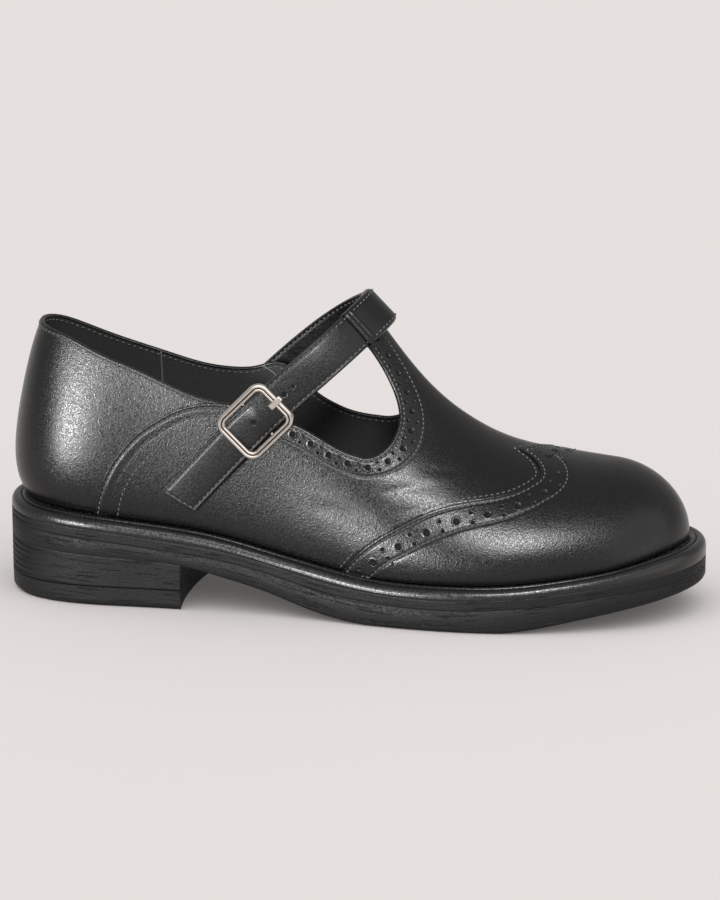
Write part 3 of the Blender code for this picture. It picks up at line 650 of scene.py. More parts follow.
def quarter_climb(length, side):
    return climb_at(length, angle_at_height(length, top_height(station_at(length), side)))


def bar_climb(station, side):
    length = length_at(station, side)
    return climb_at(length, angle_at_width(length, bar_half_width(station, side)))


def opening_line(side, first, step):
    """The edge of collar, cut-out and T-bar on one side, from a length along the sole's edge to the loop."""
    quarter = np.linspace(first, length_at(NOTCH_LOW, side), 300)
    turn = np.linspace(0, RIGHT_ANGLE, 90)
    notch = length_at(NOTCH_LOW + (NOTCH_FRONT - NOTCH_LOW) * np.sin(turn[1:]), side)
    bar = np.concatenate([BAR_FLARE + (NOTCH_FRONT - BAR_FLARE) * np.cos(turn), [BAR_TOP]])[1:]
    lengths = np.concatenate([quarter, notch, length_at(bar, side)])
    climbs = np.concatenate([quarter_climb(quarter, side), quarter_climb(notch, side), bar_climb(bar, side)])
    return even_line(WALL, lengths, climbs, step)


# Modelling by hand: each piece starts from a primitive

def select_only(*objects):
    bpy.ops.object.select_all(action="DESELECT")
    for obj in objects:
        obj.select_set(True)
    bpy.context.view_layer.objects.active = objects[0]


def edit(obj, *steps):
    """Runs edit-mode operators on a whole mesh."""
    select_only(obj)
    bpy.ops.object.mode_set(mode="EDIT")
    bpy.ops.mesh.select_mode(type="VERT")
    bpy.ops.mesh.select_all(action="SELECT")
    for step in steps:
        step()
    bpy.ops.object.mode_set(mode="OBJECT")


def face_outwards():
    bpy.ops.mesh.select_all(action="SELECT")
    bpy.ops.mesh.normals_make_consistent(inside=False)


def named(obj, name):
    obj.name = name
    obj.data.name = name
    return obj


def add_object(name, data):
    obj = bpy.data.objects.new(name, data)
    bpy.context.scene.collection.objects.link(obj)
    return obj


def mark(obj, name, values):
    """Stores a value or a place at each vertex."""
    kind, field = ("FLOAT_VECTOR", "vector") if np.ndim(values) == 2 else ("FLOAT", "value")
    layer = obj.data.attributes.new(name, kind, "POINT")
    layer.data.foreach_set(field, np.asarray(values, np.float32).ravel())


def vertex_places(obj):
    places = np.empty(3 * len(obj.data.vertices), np.float32)
    obj.data.vertices.foreach_get("co", places)
    return places.reshape(-1, 3)


def sheet(name, points, marks=None):
    """A grid primitive whose vertices are laid on an array of points, columns by rows."""
    columns, rows = points.shape[:2]
    bpy.ops.object.select_all(action="DESELECT")
    bpy.ops.mesh.primitive_grid_add(x_subdivisions=columns - 1, y_subdivisions=rows - 1, size=1)
    obj = named(bpy.context.object, name)
    places = vertex_places(obj)
    i = np.rint((places[:, 0] + 0.5) * (columns - 1)).astype(int)
    j = np.rint((places[:, 1] + 0.5) * (rows - 1)).astype(int)
    obj.data.vertices.foreach_set("co", (points[i, j] * MM).astype(np.float32).ravel())
    obj.data.update()
    for key, values in (marks or {}).items():
        mark(obj, key, values[i, j])
    return obj


def weld(obj, merge=0.004, fill=True):
    """Merges touching vertices, closes open ends and turns all faces outwards."""
    steps = [lambda: bpy.ops.mesh.remove_doubles(threshold=merge * MM)]
    if fill:
        steps.append(lambda: bpy.ops.mesh.fill_holes(sides=0))
    edit(obj, *steps, face_outwards)


def joined(name, pieces):
    """Pieces joined into one mesh."""
    select_only(*pieces)
    if len(pieces) > 1:
        bpy.ops.object.join()
    return named(bpy.context.object, name)


def rolled(name, points, marks=None, loop=False):
    """A closed form from points that run along it, then round its section."""
    def close(values):
        values = np.concatenate([values, values[:, :1]], axis=1)
        return np.concatenate([values, values[:1]], axis=0) if loop else values

    obj = sheet(name, close(points), {key: close(values) for key, values in (marks or {}).items()})
    weld(obj, fill=not loop)
    return obj


def tube(name, points, out, radius, count=10):
    """A round form along a row of points."""
    along = unit(np.gradient(points, axis=0))
    side = unit(np.cross(along, out))
    out = np.cross(side, along)
    turn = np.linspace(0, 2 * math.pi, count, endpoint=False)[None, :, None]
    ring = side[:, None] * np.cos(turn) + out[:, None] * np.sin(turn)
    return rolled(name, points[:, None] + radius * ring)


def modify(obj, kind, **settings):
    """Adds a modifier and applies it."""
    select_only(obj)
    modifier = obj.modifiers.new(kind.lower(), kind)
    for name, value in settings.items():
        setattr(modifier, name, value)
    bpy.ops.object.modifier_apply(modifier=modifier.name)


def hand_over(obj, material, replaces=None, sharp=None):
    """Finishes a piece: its material, shading, body and the solid that it stands for."""
    if material.name not in obj.data.materials:
        obj.data.materials.append(material)
    select_only(obj)
    if sharp is None:
        bpy.ops.object.shade_smooth()
    else:
        bpy.ops.object.shade_smooth_by_angle(angle=math.radians(sharp))
    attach(obj, "root")
    if replaces:
        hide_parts(replaces)


# Materials

def hex_colour(text):
    """A linear colour from an sRGB hex value."""
    values = [int(text[k:k + 2], 16) / 255 for k in (1, 3, 5)]
    linear = [v / 12.92 if v <= 0.04045 else ((v + 0.055) / 1.055) ** 2.4 for v in values]
    return (*linear, 1.0)


def per(size):
    """A texture's scale for a feature of this size in millimetres."""
    return 1 / (size * MM)


def node(tree, kind, inputs=None, **settings):
    """Adds a node with its settings, and sets or links its inputs."""
    made = tree.nodes.new(kind)
    for name, value in settings.items():
        setattr(made, name, value)
    for name, value in (inputs or {}).items():
        if isinstance(value, bpy.types.NodeSocket):
            tree.links.new(value, made.inputs[name])
        else:
            made.inputs[name].default_value = value
    return made


def new_material(name, **values):
    """A material with its constant values, its nodes, and the socket of its object coordinates."""
    material = bpy.data.materials.new(name)
    material.use_nodes = True
    tree = material.node_tree
    for key, value in values.items():
        tree.nodes["Principled BSDF"].inputs[key.replace("_", " ")].default_value = value
    return material, tree, node(tree, "ShaderNodeTexCoord").outputs["Object"]


def finished(material, **sockets):
    """Links a material's patterns to its surface."""
    tree = material.node_tree
    for key, socket in sockets.items():
        tree.links.new(socket, tree.nodes["Principled BSDF"].inputs[key.replace("_", " ")])
    return material


def waxed_leather(name, roughness, depth):
    """Calf leather, dyed through and waxed: worm-like grain in a soft gloss; punched holes and stitch troughs
    are matte and darkened with painted shade.
    """
    material, tree, place = new_material(name, IOR=1.5, Specular_IOR_Level=0.34)
    worm = node(tree, "ShaderNodeTexNoise", {
        "Vector": place, "Scale": per(0.6), "Detail": 0.5, "Roughness": 0.5, "Distortion": 1.0}).outputs[0]
    fine = node(tree, "ShaderNodeTexNoise", {"Vector": place, "Scale": per(2.2), "Detail": 1.0}).outputs[0]
    patch = node(tree, "ShaderNodeTexNoise", {"Vector": place, "Scale": per(26), "Detail": 2.0}).outputs[0]
    grain = node(tree, "ShaderNodeMath", {0: fine, 1: 0.35, 2: worm}, operation="MULTIPLY_ADD").outputs[0]
    bump = node(tree, "ShaderNodeBump", {"Height": grain, "Strength": 1.0, "Distance": depth * MM}).outputs[0]
    gloss = node(tree, "ShaderNodeMapRange", {
        "Value": worm, "From Min": 0.35, "From Max": 0.65,
        "To Min": roughness + 0.09, "To Max": roughness - 0.09}).outputs["Result"]
    # mask of holes and stitch troughs, which get painted shade and a matte finish
    pit_and_painted_shade = node(tree, "ShaderNodeAttribute", attribute_name="pit_and_painted_shade").outputs["Fac"]
    dull = node(tree, "ShaderNodeMix", {"Factor": pit_and_painted_shade, "A": gloss, "B": 0.95}, data_type="FLOAT")
    tint = node(tree, "ShaderNodeMix", {
        0: patch, 6: hex_colour("#070707"), 7: hex_colour("#0b0b0b")}, data_type="RGBA").outputs[2]
    # painted shade: the base colour goes near black in holes and stitch troughs
    painted_pit_shade = node(tree, "ShaderNodeMix", {0: pit_and_painted_shade, 6: tint, 7: hex_colour("#040404")}, data_type="RGBA")
    return finished(material, Base_Color=painted_pit_shade.outputs[2], Roughness=dull.outputs[0], Normal=bump)


def pigskin_lining(name, dark, light):
    """Black pigskin lining: matte, with a fine nap."""
    material, tree, place = new_material(name, Roughness=0.62)
    nap = node(tree, "ShaderNodeTexNoise", {
        "Vector": place, "Scale": per(1.0), "Detail": 4.0, "Roughness": 0.7}).outputs["Fac"]
    bump = node(tree, "ShaderNodeBump", {"Height": nap, "Strength": 1.0, "Distance": 0.12 * MM})
    tint = node(tree, "ShaderNodeMix", {0: nap, 6: hex_colour(dark), 7: hex_colour(light)}, data_type="RGBA")
    return finished(material, Base_Color=tint.outputs[2], Normal=bump.outputs["Normal"])


def buffed_rubber(name):
    """Moulded sole rubber, buffed along its edge: dull and speckled, with dark broken grooves along the sole,
    darkened with painted shade.
    """
    material, tree, place = new_material(name, IOR=1.5, Specular_IOR_Level=0.2)
    split = node(tree, "ShaderNodeSeparateXYZ", {"Vector": place}).outputs
    layer = node(tree, "ShaderNodeAttribute", attribute_name="layer").outputs["Fac"]
    run = node(tree, "ShaderNodeCombineXYZ", {"X": split["X"], "Y": split["Y"], "Z": layer}).outputs["Vector"]
    lines = node(tree, "ShaderNodeMapping", {"Vector": run, "Scale": (per(18), per(18), per(0.9))}).outputs[0]
    streak = node(tree, "ShaderNodeTexNoise", {
        "Vector": lines, "Scale": 1.0, "Detail": 3.0, "Roughness": 0.6}).outputs["Fac"]
    speck = node(tree, "ShaderNodeTexNoise", {"Vector": place, "Scale": per(0.8), "Detail": 2.0}).outputs[0]
    groove_and_painted_shade = node(tree, "ShaderNodeMapRange", {
        "Value": streak, "From Min": 0.30, "From Max": 0.43}).outputs["Result"]
    height = node(tree, "ShaderNodeMath", {0: speck, 1: 0.5, 2: groove_and_painted_shade}, operation="MULTIPLY_ADD").outputs[0]
    bump = node(tree, "ShaderNodeBump", {"Height": height, "Strength": 1.0, "Distance": 0.25 * MM})
    gloss = node(tree, "ShaderNodeMapRange", {
        "Value": speck, "From Min": 0.35, "From Max": 0.65, "To Min": 0.68, "To Max": 0.44}).outputs["Result"]
    # painted shade: the low grooves of the bump are coloured darker
    tint = node(tree, "ShaderNodeMix", {
        0: groove_and_painted_shade, 6: hex_colour("#030303"), 7: hex_colour("#0c0c0c")}, data_type="RGBA")
    return finished(material, Base_Color=tint.outputs[2], Roughness=gloss, Normal=bump.outputs["Normal"])


def polished_rubber(name):
    """Welt strip of the same rubber, polished: smoother, with a waxy line of light on its shoulder."""
    material, tree, place = new_material(name, IOR=1.5, Specular_IOR_Level=0.45)
    speck = node(tree, "ShaderNodeTexNoise", {"Vector": place, "Scale": per(1.1), "Detail": 3.0}).outputs[0]
    bump = node(tree, "ShaderNodeBump", {"Height": speck, "Strength": 1.0, "Distance": 0.06 * MM})
    gloss = node(tree, "ShaderNodeMapRange", {
        "Value": speck, "From Min": 0.3, "From Max": 0.7, "To Min": 0.20, "To Max": 0.36}).outputs["Result"]
    tint = node(tree, "ShaderNodeMix", {
        0: speck, 6: hex_colour("#080808"), 7: hex_colour("#0f0f0f")}, data_type="RGBA")
    return finished(material, Base_Color=tint.outputs[2], Roughness=gloss, Normal=bump.outputs["Normal"])


def twisted_thread(name, dark, light):
    """Waxed polyester thread: black and twisted, and so round that a part of it glints in any light; its
    colour is lifted to dark grey as painted sheen.
    """
    material, tree, place = new_material(name, Roughness=0.34, Specular_IOR_Level=0.4)
    twist = node(tree, "ShaderNodeTexNoise", {"Vector": place, "Scale": per(0.35), "Detail": 1.0}).outputs[0]
    bump = node(tree, "ShaderNodeBump", {"Height": twist, "Strength": 0.6, "Distance": 0.05 * MM})
    tint = node(tree, "ShaderNodeMix", {
        0: twist, 6: hex_colour(dark), 7: hex_colour(light)}, data_type="RGBA")
    return finished(material, Base_Color=tint.outputs[2], Normal=bump.outputs["Normal"])


def polished_nickel(name):
    """Zinc alloy, polished and plated with warm nickel: bright and faintly marked, with painted shade
    darkening its groove.
    """
    material, tree, place = new_material(name, Metallic=1.0)
    marks = node(tree, "ShaderNodeTexNoise", {"Vector": place, "Scale": per(1.6), "Detail": 4.0}).outputs[0]
    gloss = node(tree, "ShaderNodeMapRange", {
        "Value": marks, "From Min": 0.3, "From Max": 0.7, "To Min": 0.12, "To Max": 0.2}).outputs["Result"]
    tint = node(tree, "ShaderNodeMix", {
        0: marks, 6: hex_colour("#c8c0b8"), 7: hex_colour("#ded7d0")}, data_type="RGBA").outputs[2]
    # painted shade: the base colour darkens along the groove between the two beads
    groove = node(tree, "ShaderNodeAttribute", attribute_name="pit_and_painted_shade").outputs["Fac"]
    painted_groove_shade = node(tree, "ShaderNodeMix", {0: groove, 6: tint, 7: hex_colour("#6e645a")}, data_type="RGBA")
    return finished(material, Base_Color=painted_groove_shade.outputs[2], Roughness=gloss)


def painted_board(name):
    """Matt studio paint on the floor, with a barely seen mottle."""
    material, tree, place = new_material(name, Roughness=0.95, Specular_IOR_Level=0.1)
    mottle = node(tree, "ShaderNodeTexNoise", {"Vector": place, "Scale": per(300), "Detail": 2.0}).outputs[0]
    tint = node(tree, "ShaderNodeMix", {
        0: mottle, 6: hex_colour("#e5e1df"), 7: hex_colour("#e7e3e1")}, data_type="RGBA")
    return finished(material, Base_Color=tint.outputs[2])


# Grain, nap, twist and streaks are drawn coarser than real ones, as much as they need to show in the render
LEATHER = waxed_leather("calf_leather_waxed", 0.275, 0.07)
STRAP_LEATHER = waxed_leather("calf_leather_strap", 0.33, 0.06)
LINING = pigskin_lining("pigskin_lining_matte", "#0a0a0a", "#2c2c2c")
LINING_EDGE = pigskin_lining("pigskin_lining_cut_edge", "#343434", "#606060")
RUBBER = buffed_rubber("sole_rubber_buffed")
WELT_RUBBER = polished_rubber("welt_rubber_polished")
# painted sheen: black threads are coloured dark grey so that their rows show as light dashes in shade
THREAD = twisted_thread("polyester_thread_waxed", "#2c2c2c", "#505050")
LINING_THREAD = twisted_thread("polyester_thread_lining", "#303030", "#545454")
NICKEL = polished_nickel("nickel_plate_polished")


# Stitches: one is modelled and set along every row

def stitch_form():
    """One stitch: a round bead drawn out and bent down into its two holes."""
    bpy.ops.object.select_all(action="DESELECT")
    bpy.ops.mesh.primitive_uv_sphere_add(segments=8, ring_count=6, radius=0.5)
    obj = bpy.context.object
    places = np.array([vertex.co for vertex in obj.data.vertices])[:, [2, 0, 1]]
    places = places * (STITCH_LENGTH, STITCH_WIDTH, STITCH_HEIGHT)
    places[:, 2] -= STITCH_HEIGHT * (2 * places[:, 0] / STITCH_LENGTH) ** 4 / 2
    faces = [list(face.vertices) for face in obj.data.polygons]
    bpy.data.objects.remove(obj, do_unlink=True)
    return places, faces


STITCH_PLACES, STITCH_FACES = stitch_form()
STITCH_PROBE = 0.2
seams = {}


def sew(seam, points, normals, pitch=STITCH_PITCH, stand=0.0):
    """Sets stitches along a row of points, standing over them along the given normals."""
    way = arc_lengths(points)
    count = max(2, int(way[-1] / pitch))
    places = (np.arange(count) + 0.5) * way[-1] / count
    ahead, behind = (along_row(places + probe, way, points) for probe in (STITCH_PROBE, -STITCH_PROBE))
    along = unit(ahead - behind)
    out = along_row(places, way, normals)
    out = unit(out - dot(out, along)[:, None] * along)
    row = (along_row(places, way, points) + out * stand, along, np.cross(out, along), out)
    seams.setdefault(seam, []).append(row)


def make_seams():
    for name, rows in seams.items():
        at, along, side, out = (np.vstack(values)[:, None] for values in zip(*rows))
        along, side = along + side * STITCH_SLANT, side - along * STITCH_SLANT
        x, y, z = (STITCH_PLACES[:, k][None, :, None] for k in range(3))
        points = at + x * along + y * side + z * out
        faces = []
        for k in range(len(at)):
            faces.extend([[corner + k * len(STITCH_PLACES) for corner in face] for face in STITCH_FACES])
        mesh = bpy.data.meshes.new(name)
        mesh.from_pydata((points.reshape(-1, 3) * MM).tolist(), [], faces)
        obj = add_object(name, mesh)
        edit(obj, face_outwards)
        hand_over(obj, LINING_THREAD if name == "stitches_lining" else THREAD)


# Lines of the pattern: wing tip, heel panel and opening

def wing_line(side):
    """The wing tip's edge from the feather edge to its peak; the inner side mirrors the outer one."""
    station = column(WING_ROWS, "station")
    across = column(WING_ROWS, "climb") - 1
    peak = across[-1]
    if side > 0:
        across = peak + (peak - across) * (1 - peak) / (1 + peak)
    width_places = arc_lengths(vamp(station, across))
    line = drawn_line(VAMP, station, across, BAND_STEP)
    way = arc_lengths(vamp(*line))
    return (*line, np.interp(way / way[-1], width_places / width_places[-1], column(WING_ROWS, "width")))


def panel_line(rows, side, step):
    return drawn_line(WALL, length_at(column(rows, "station"), side), column(rows, "climb"), step)


WING = {side: wing_line(side) for side in SIDES}
HEEL_PANEL = {side: panel_line(HEEL_PANEL_ROWS, side, LINE_STEP) for side in SIDES}
OPENING = {side: opening_line(side, HEEL_LENGTH[side], LINE_STEP) for side in SIDES}


def wing_rows(side, distances):
    """Rows beside the wing tip's edge towards the toe, turned along the shoe near the peak."""
    station, across, width = WING[side]
    point, normal, heading = line_frame(VAMP, station, across, side)
    way = arc_lengths(point)
    turn = (1 - smooth(0.0, MITRE_REACH, way[-1] - way))[:, None]
    ahead = unit(np.array([1.0, 0.0, 0.0]) - normal * normal[:, :1])
    mitred = unit(heading * (1 - turn) + ahead * turn)
    slant = np.maximum(dot(mitred, heading), 0.5)
    return beside(VAMP, station, across, distances, width / WING_BAND / slant, mitred)


def throat_widths(line):
    """How much wider the band round a cut-out gets along its edge, from the lowest place up to the loop."""
    way = arc_lengths(line)
    return 1 + THROAT_WIDEN * smooth(0.0, THROAT_WIDEN_REACH, way - way[np.argmin(line[:, 2])])


def nearest(points, line):
    """Distance of each point to a close row of points, and which of them is nearest."""
    tree = KDTree(len(line))
    for index, place in enumerate(line):
        tree.insert(Vector(place), index)
    tree.balance()
    found = [tree.find(Vector(point)) for point in points]
    return np.array([hit[2] for hit in found]), np.array([hit[1] for hit in found], int)


def panel_lift(points, station, across):
    """How far the leather stands off the last: panels step up, and hollows lie under the punched bands."""
    flat = points.reshape(-1, 3)
    x = station.ravel()
    y = across.ravel()
    lift = np.full(len(flat), VAMP_PANEL_LIFT)
    for side in SIDES:
        length, climb = HEEL_PANEL[side]
        limit = np.interp(1 - np.abs(y), climb, station_at(length))
        here = (y < 0) if side < 0 else (y >= 0)
        lift[here & (x < limit)] = HEEL_PANEL_LIFT
        near = np.flatnonzero(here & (x >= limit) & (x < limit + PANEL_SEARCH))
        gap, _ = nearest(flat[near], wall(length, climb))
        lift[near] += (HEEL_PANEL_LIFT - VAMP_PANEL_LIFT) * (1 - smooth(2.0, 5.0, gap))
        length, climb = OPENING[side]
        line = wall(length, climb)[station_at(length) > THROAT_START]
        near = np.flatnonzero(here & (x > THROAT_START) & (x < NOTCH_FRONT + PANEL_SEARCH))
        gap, index = nearest(flat[near], line)
        gap = gap / throat_widths(line)[index]
        under = smooth(0.2, 1.0, gap) * (1 - smooth(THROAT_BAND - 1.0, THROAT_BAND + 0.5, gap))
        lift[near] += (BAND_HOLLOW - VAMP_PANEL_LIFT) * under * smooth(0.0, 2.0, x[near] - THROAT_START)
    line_x, line_y = (np.concatenate([WING[-1][k], WING[1][k][::-1]]) for k in (0, 1))
    limit = np.interp(y, line_y, line_x)
    ahead = x > limit
    lift[ahead] = CAP_PANEL_LIFT
    near = np.flatnonzero(ahead & (x < limit + WING_SEARCH))
    distances = np.linspace(0, WING_BAND + WING_OVERLAP, 22)
    rows = [vamp(*(values[::3] for values in wing_rows(side, distances))) for side in SIDES]
    off, index = nearest(flat[near], np.vstack([row.reshape(-1, 3) for row in rows]))
    gap = np.where(off < 1.0, distances[index % len(distances)], 2 * WING_BAND)
    under = smooth(0.5, 1.2, gap) * (1 - smooth(WING_BAND - 1.0, WING_BAND + 0.6, gap))
    rise = np.where(gap < WING_BAND / 2, VAMP_PANEL_LIFT, CAP_PANEL_LIFT)
    lift[near] = rise + (BAND_HOLLOW - rise) * under
    return lift.reshape(station.shape)


def fold_lift(station):
    """Height of the leather's face beside the opening, over the last's own face."""
    return HEEL_PANEL_LIFT + (VAMP_PANEL_LIFT - HEEL_PANEL_LIFT) * smooth(-50.0, -42.0, station)


def crease_lift(points):
    """Soft troughs, each with a low ridge beside it."""
    total = np.zeros(points.shape[:-1])
    for row in CREASE_ROWS:
        start = wall(length_at(row.station, -1), row.climb)
        way = wall(length_at(row.end_station, -1), row.end_climb) - start
        share = np.clip((points - start) @ way / (way @ way), 0, 1)
        gap = np.linalg.norm(points - (start + share[..., None] * way), axis=-1) / row.half_width
        fade = np.sin(math.pi * np.clip(share, 0.02, 0.98)) ** 0.7
        total += row.depth * fade * (gap ** 2 - 1) * bell(gap, 1)
    return total


# The upper: one lasted sheet with its wall

QUARTER_COLUMNS = 130
NOTCH_COLUMNS = 26
VAMP_COLUMNS = 116
WALL_ROWS = 54
BAR_COLUMNS = 26
VAMP_ROWS = 40


def ridge_normal(length):
    """Straight up from the ridge, square to its slope."""
    axis = axis_at(station_at(length))
    slope = read(RIDGE_ROWS, "height", axis + 0.5) - read(RIDGE_ROWS, "height", axis - 0.5)
    return unit(np.stack([-slope, 0 * slope, 1 + 0 * slope], axis=-1))


def lasted_sheet(lengths, lows, highs, rows, side):
    """Leather drawn over the last between two climbs, with its panels and creases."""
    length = np.repeat(lengths[:, None], rows + 1, axis=1)
    climb = lows[:, None] + (highs - lows)[:, None] * np.linspace(0, 1, rows + 1)
    point = wall(length, climb)
    _, _, _, normal = skin_frame(WALL, length, np.minimum(climb, 0.995))
    crest = smooth(0.93, 1.0, climb)[..., None]
    normal = unit(normal * (1 - crest) + ridge_normal(length) * crest)
    station = station_at(length)
    lift = panel_lift(point, station, side * (1 - climb)) + crease_lift(point)
    inside = point + normal * (fold_lift(station) - SHOWN_WALL)[..., None]
    return sheet("upper_leather", point + normal * lift[..., None], {"inside": inside * MM})


def upper_leather():
    """Quarters, vamp and T-bar in one, with the lining as the inner face of its wall."""
    turn = np.linspace(0, RIGHT_ANGLE, NOTCH_COLUMNS + 1)[1:]
    quarter = station_at(np.linspace(0, length_at(NOTCH_LOW, -1), QUARTER_COLUMNS + 1))
    notch = NOTCH_LOW + (NOTCH_FRONT - NOTCH_LOW) * np.sin(turn)
    front = station_at(np.linspace(length_at(NOTCH_FRONT, -1), TOE_LENGTH, VAMP_COLUMNS + 1))
    flare = np.linspace(0, RIGHT_ANGLE, BAR_COLUMNS + 1)[:-1]
    bar = np.concatenate([[BAR_TOP], BAR_FLARE + (NOTCH_FRONT - BAR_FLARE) * np.sin(flare)])
    toe_level = np.mean([quarter_climb(length_at(NOTCH_FRONT, side), side) for side in SIDES])
    ahead = np.linspace(0, 1, VAMP_COLUMNS + 1)
    pieces = []
    for side in SIDES:
        rear = length_at(np.concatenate([quarter, notch]), side)
        rear[0] = HEEL_LENGTH[side]
        fore = length_at(front, side)
        fore[-1] = TOE_LENGTH
        rear_tops = quarter_climb(rear, side)
        level = rear_tops[-1] + (toe_level - rear_tops[-1]) * ahead
        tops = np.concatenate([rear_tops, level[1:]])
        lengths = np.concatenate([rear, fore[1:]])
        pieces.append(lasted_sheet(lengths, 0 * tops, tops, WALL_ROWS, side))
        lows = np.concatenate([bar_climb(bar, side), level])
        lengths = np.concatenate([length_at(bar, side), fore])
        pieces.append(lasted_sheet(lengths, lows, 0 * lows + 1, VAMP_ROWS, side))
    obj = joined("upper_leather", pieces)
    weld(obj, merge=0.08, fill=False)
    outermost = min(obj.data.polygons, key=lambda face: face.center.y)
    if outermost.normal.y > 0:
        edit(obj, lambda: bpy.ops.mesh.flip_normals())
    obj.data.materials.append(LEATHER)
    obj.data.materials.append(LINING)
    outside = len(obj.data.vertices)
    modify(obj, "SOLIDIFY", thickness=SHOWN_WALL * MM, offset=-1.0, material_offset=1, material_offset_rim=0)
    places = vertex_places(obj)
    inside = np.empty(places.size, np.float32)
    obj.data.attributes["inside"].data.foreach_get("vector", inside)
    places[outside:] = inside.reshape(-1, 3)[outside:]
    obj.data.vertices.foreach_set("co", places.ravel())
    obj.data.attributes.remove(obj.data.attributes["inside"])
    hand_over(obj, LEATHER, "upper")


# Bands and edges that lie on the upper

def stitch_trough(distance, *rows, depth=TROUGH_DEPTH, half_width=0.42):
    """The leather drawn down under rows of stitches."""
    return -sum(depth * bell(distance - at, half_width) for at in rows)


def trough_shade(distance, *rows):
    """Painted shade: how much darker the leather is coloured in the troughs of some rows of stitches."""
    return -stitch_trough(distance, *rows, depth=TROUGH_SHADE)


def lip_distances(end, step):
    """Distances from a panel's edge, close together on its rounded lip."""
    lip = np.linspace(0, PANEL_EDGE_ROUND, 6)[:-1]
    return np.concatenate([lip, np.arange(PANEL_EDGE_ROUND, end, step)])


def edge_round(distance, height, foot):
    """Height beside a panel's edge: a rounded lip that rises from its foot."""
    share = np.clip(distance / PANEL_EDGE_ROUND, 0, 1)
    return foot + (height - foot) * np.sqrt(1 - (1 - share) ** 2)


def punch(points, centres, radius):
    """How far each point lies inside a punched hole, from 0 to 1, and on the rim pressed up round it."""
    gap = np.full(points.shape[:-1], 9.0)
    for centre in centres:
        gap = np.minimum(gap, np.linalg.norm(points - centre, axis=-1) / radius)
    return 1 - smooth(0.75, 1.02, gap), bell(gap - 1.3, 0.22)


def row_at(values, distances, where):
    """A strip's values at one distance, read between its rows."""
    j = int(np.clip(np.searchsorted(distances, where), 1, len(distances) - 1))
    share = (where - distances[j - 1]) / (distances[j] - distances[j - 1])
    return values[:, j - 1] * (1 - share) + values[:, j] * share


def brogue_holes(flat, distances, shares, pitch, start, scale=1.0):
    """Big holes along a strip, a pitch apart, and pairs of small ones between them, each with its radius."""
    middle, near, far = (row_at(flat, distances, share * distances[-1]) for share in shares)
    way = arc_lengths(middle)
    big = np.arange(start, way[-1], pitch)
    small = np.arange((start + pitch / 2) % pitch, way[-1], pitch)
    pairs = np.vstack([along_row(small, way, row) for row in (near, far)])
    return [(along_row(big, way, middle), BIG_HOLE * scale), (pairs, SMALL_HOLE * scale)]


def band(name, seam, skin, rows, distances, profile, stitches, holes=(), pitch=STITCH_PITCH):
    """A strip of leather over the upper, closed underneath, with holes and rows of stitches in troughs."""
    flat, normals = raised(skin, *rows, profile)
    for at in stitches:
        sew(seam, row_at(flat, distances, at), row_at(normals, distances, at), pitch, STITCH_STAND)
    pit_and_painted_shade = np.zeros(flat.shape[:2])
    rim = np.zeros(flat.shape[:2])
    for centres, radius in holes:
        inside, ring = punch(flat, centres, radius)
        pit_and_painted_shade = np.maximum(pit_and_painted_shade, inside)
        rim = np.maximum(rim, ring)
    top = flat + normals * (HOLE_RIM * rim - HOLE_DEPTH * pit_and_painted_shade)[..., None]
    under, _ = raised(skin, *(values[:, [-1, 0]] for values in rows), BAND_UNDER)
    # painted shade in the holes and stitch troughs, carried to the leather's colour
    shade = np.maximum(pit_and_painted_shade, trough_shade(distances, *stitches))
    marks = {"pit_and_painted_shade": np.concatenate([shade, 0 * under[..., 0]], axis=1)}
    return rolled(name, np.concatenate([top, under], axis=1), marks)


def wing_band():
    """The perforated border of the wing tip, from the outer feather edge over its peak to the inner one."""
    stitches = (WING_STITCH, WING_BAND)
    distances = lip_distances(WING_BAND + WING_OVERLAP, BAND_STEP)
    profile = edge_round(distances, CAP_PANEL_LIFT + 0.06, VAMP_PANEL_LIFT - LIP_FOOT)
    profile = profile + stitch_trough(distances, *stitches)
    profile = profile - BAND_TUCK * smooth(WING_BAND + 0.5, WING_BAND + WING_OVERLAP, distances)
    halves = [wing_rows(side, distances) for side in SIDES]
    holes = []
    for rows in halves:
        flat, _ = raised(VAMP, *rows, profile)
        holes += brogue_holes(flat, distances, WING_HOLE_SHARES, WING_HOLE_PITCH, WING_HOLE_START)
    rows = [np.concatenate([outer[:-1], (outer[-1:] + inner[-1:]) / 2, inner[-2::-1]])
            for outer, inner in zip(*halves)]
    obj = band("wing_tip_band", "stitches_wing_tip", VAMP, rows, distances, profile, stitches, holes)
    for side in SIDES:
        line, normals = raised(VAMP, *wing_rows(side, np.array([VAMP_STITCH])), VAMP_PANEL_LIFT)
        sew("stitches_wing_tip", line[:, 0], normals[:, 0], stand=0.05)
    hand_over(obj, LEATHER)


def throat_band():
    """The perforated border of the cut-outs, from under the buckle to the loop."""
    stitches = (THROAT_STITCH, THROAT_BAND)
    distances = np.concatenate([[0.15, 0.3], np.arange(0.5, THROAT_BAND + 1.4, BAND_STEP)])
    profile = VAMP_PANEL_LIFT + 0.12 - 0.25 * (1 - smooth(0.1, 0.7, distances))
    profile = profile + stitch_trough(distances, *stitches)
    profile = profile - BAND_TUCK * smooth(THROAT_BAND + 0.5, THROAT_BAND + 1.3, distances)
    pieces = []
    for side in SIDES:
        line = opening_line(side, length_at(THROAT_START, side), BAND_STEP)
        point, _, heading = line_frame(WALL, *line, side)
        rows = beside(WALL, *line, distances, throat_widths(point), heading)
        flat, _ = raised(WALL, *rows, profile)
        holes = brogue_holes(flat, distances, THROAT_HOLE_SHARES, THROAT_HOLE_PITCH, THROAT_HOLE_START,
                             THROAT_HOLE_SCALE)
        pieces.append(band("throat_band", "stitches_throat", WALL, rows, distances, profile, stitches, holes,
                           THROAT_PITCH))
    hand_over(joined("throat_band", pieces), LEATHER)


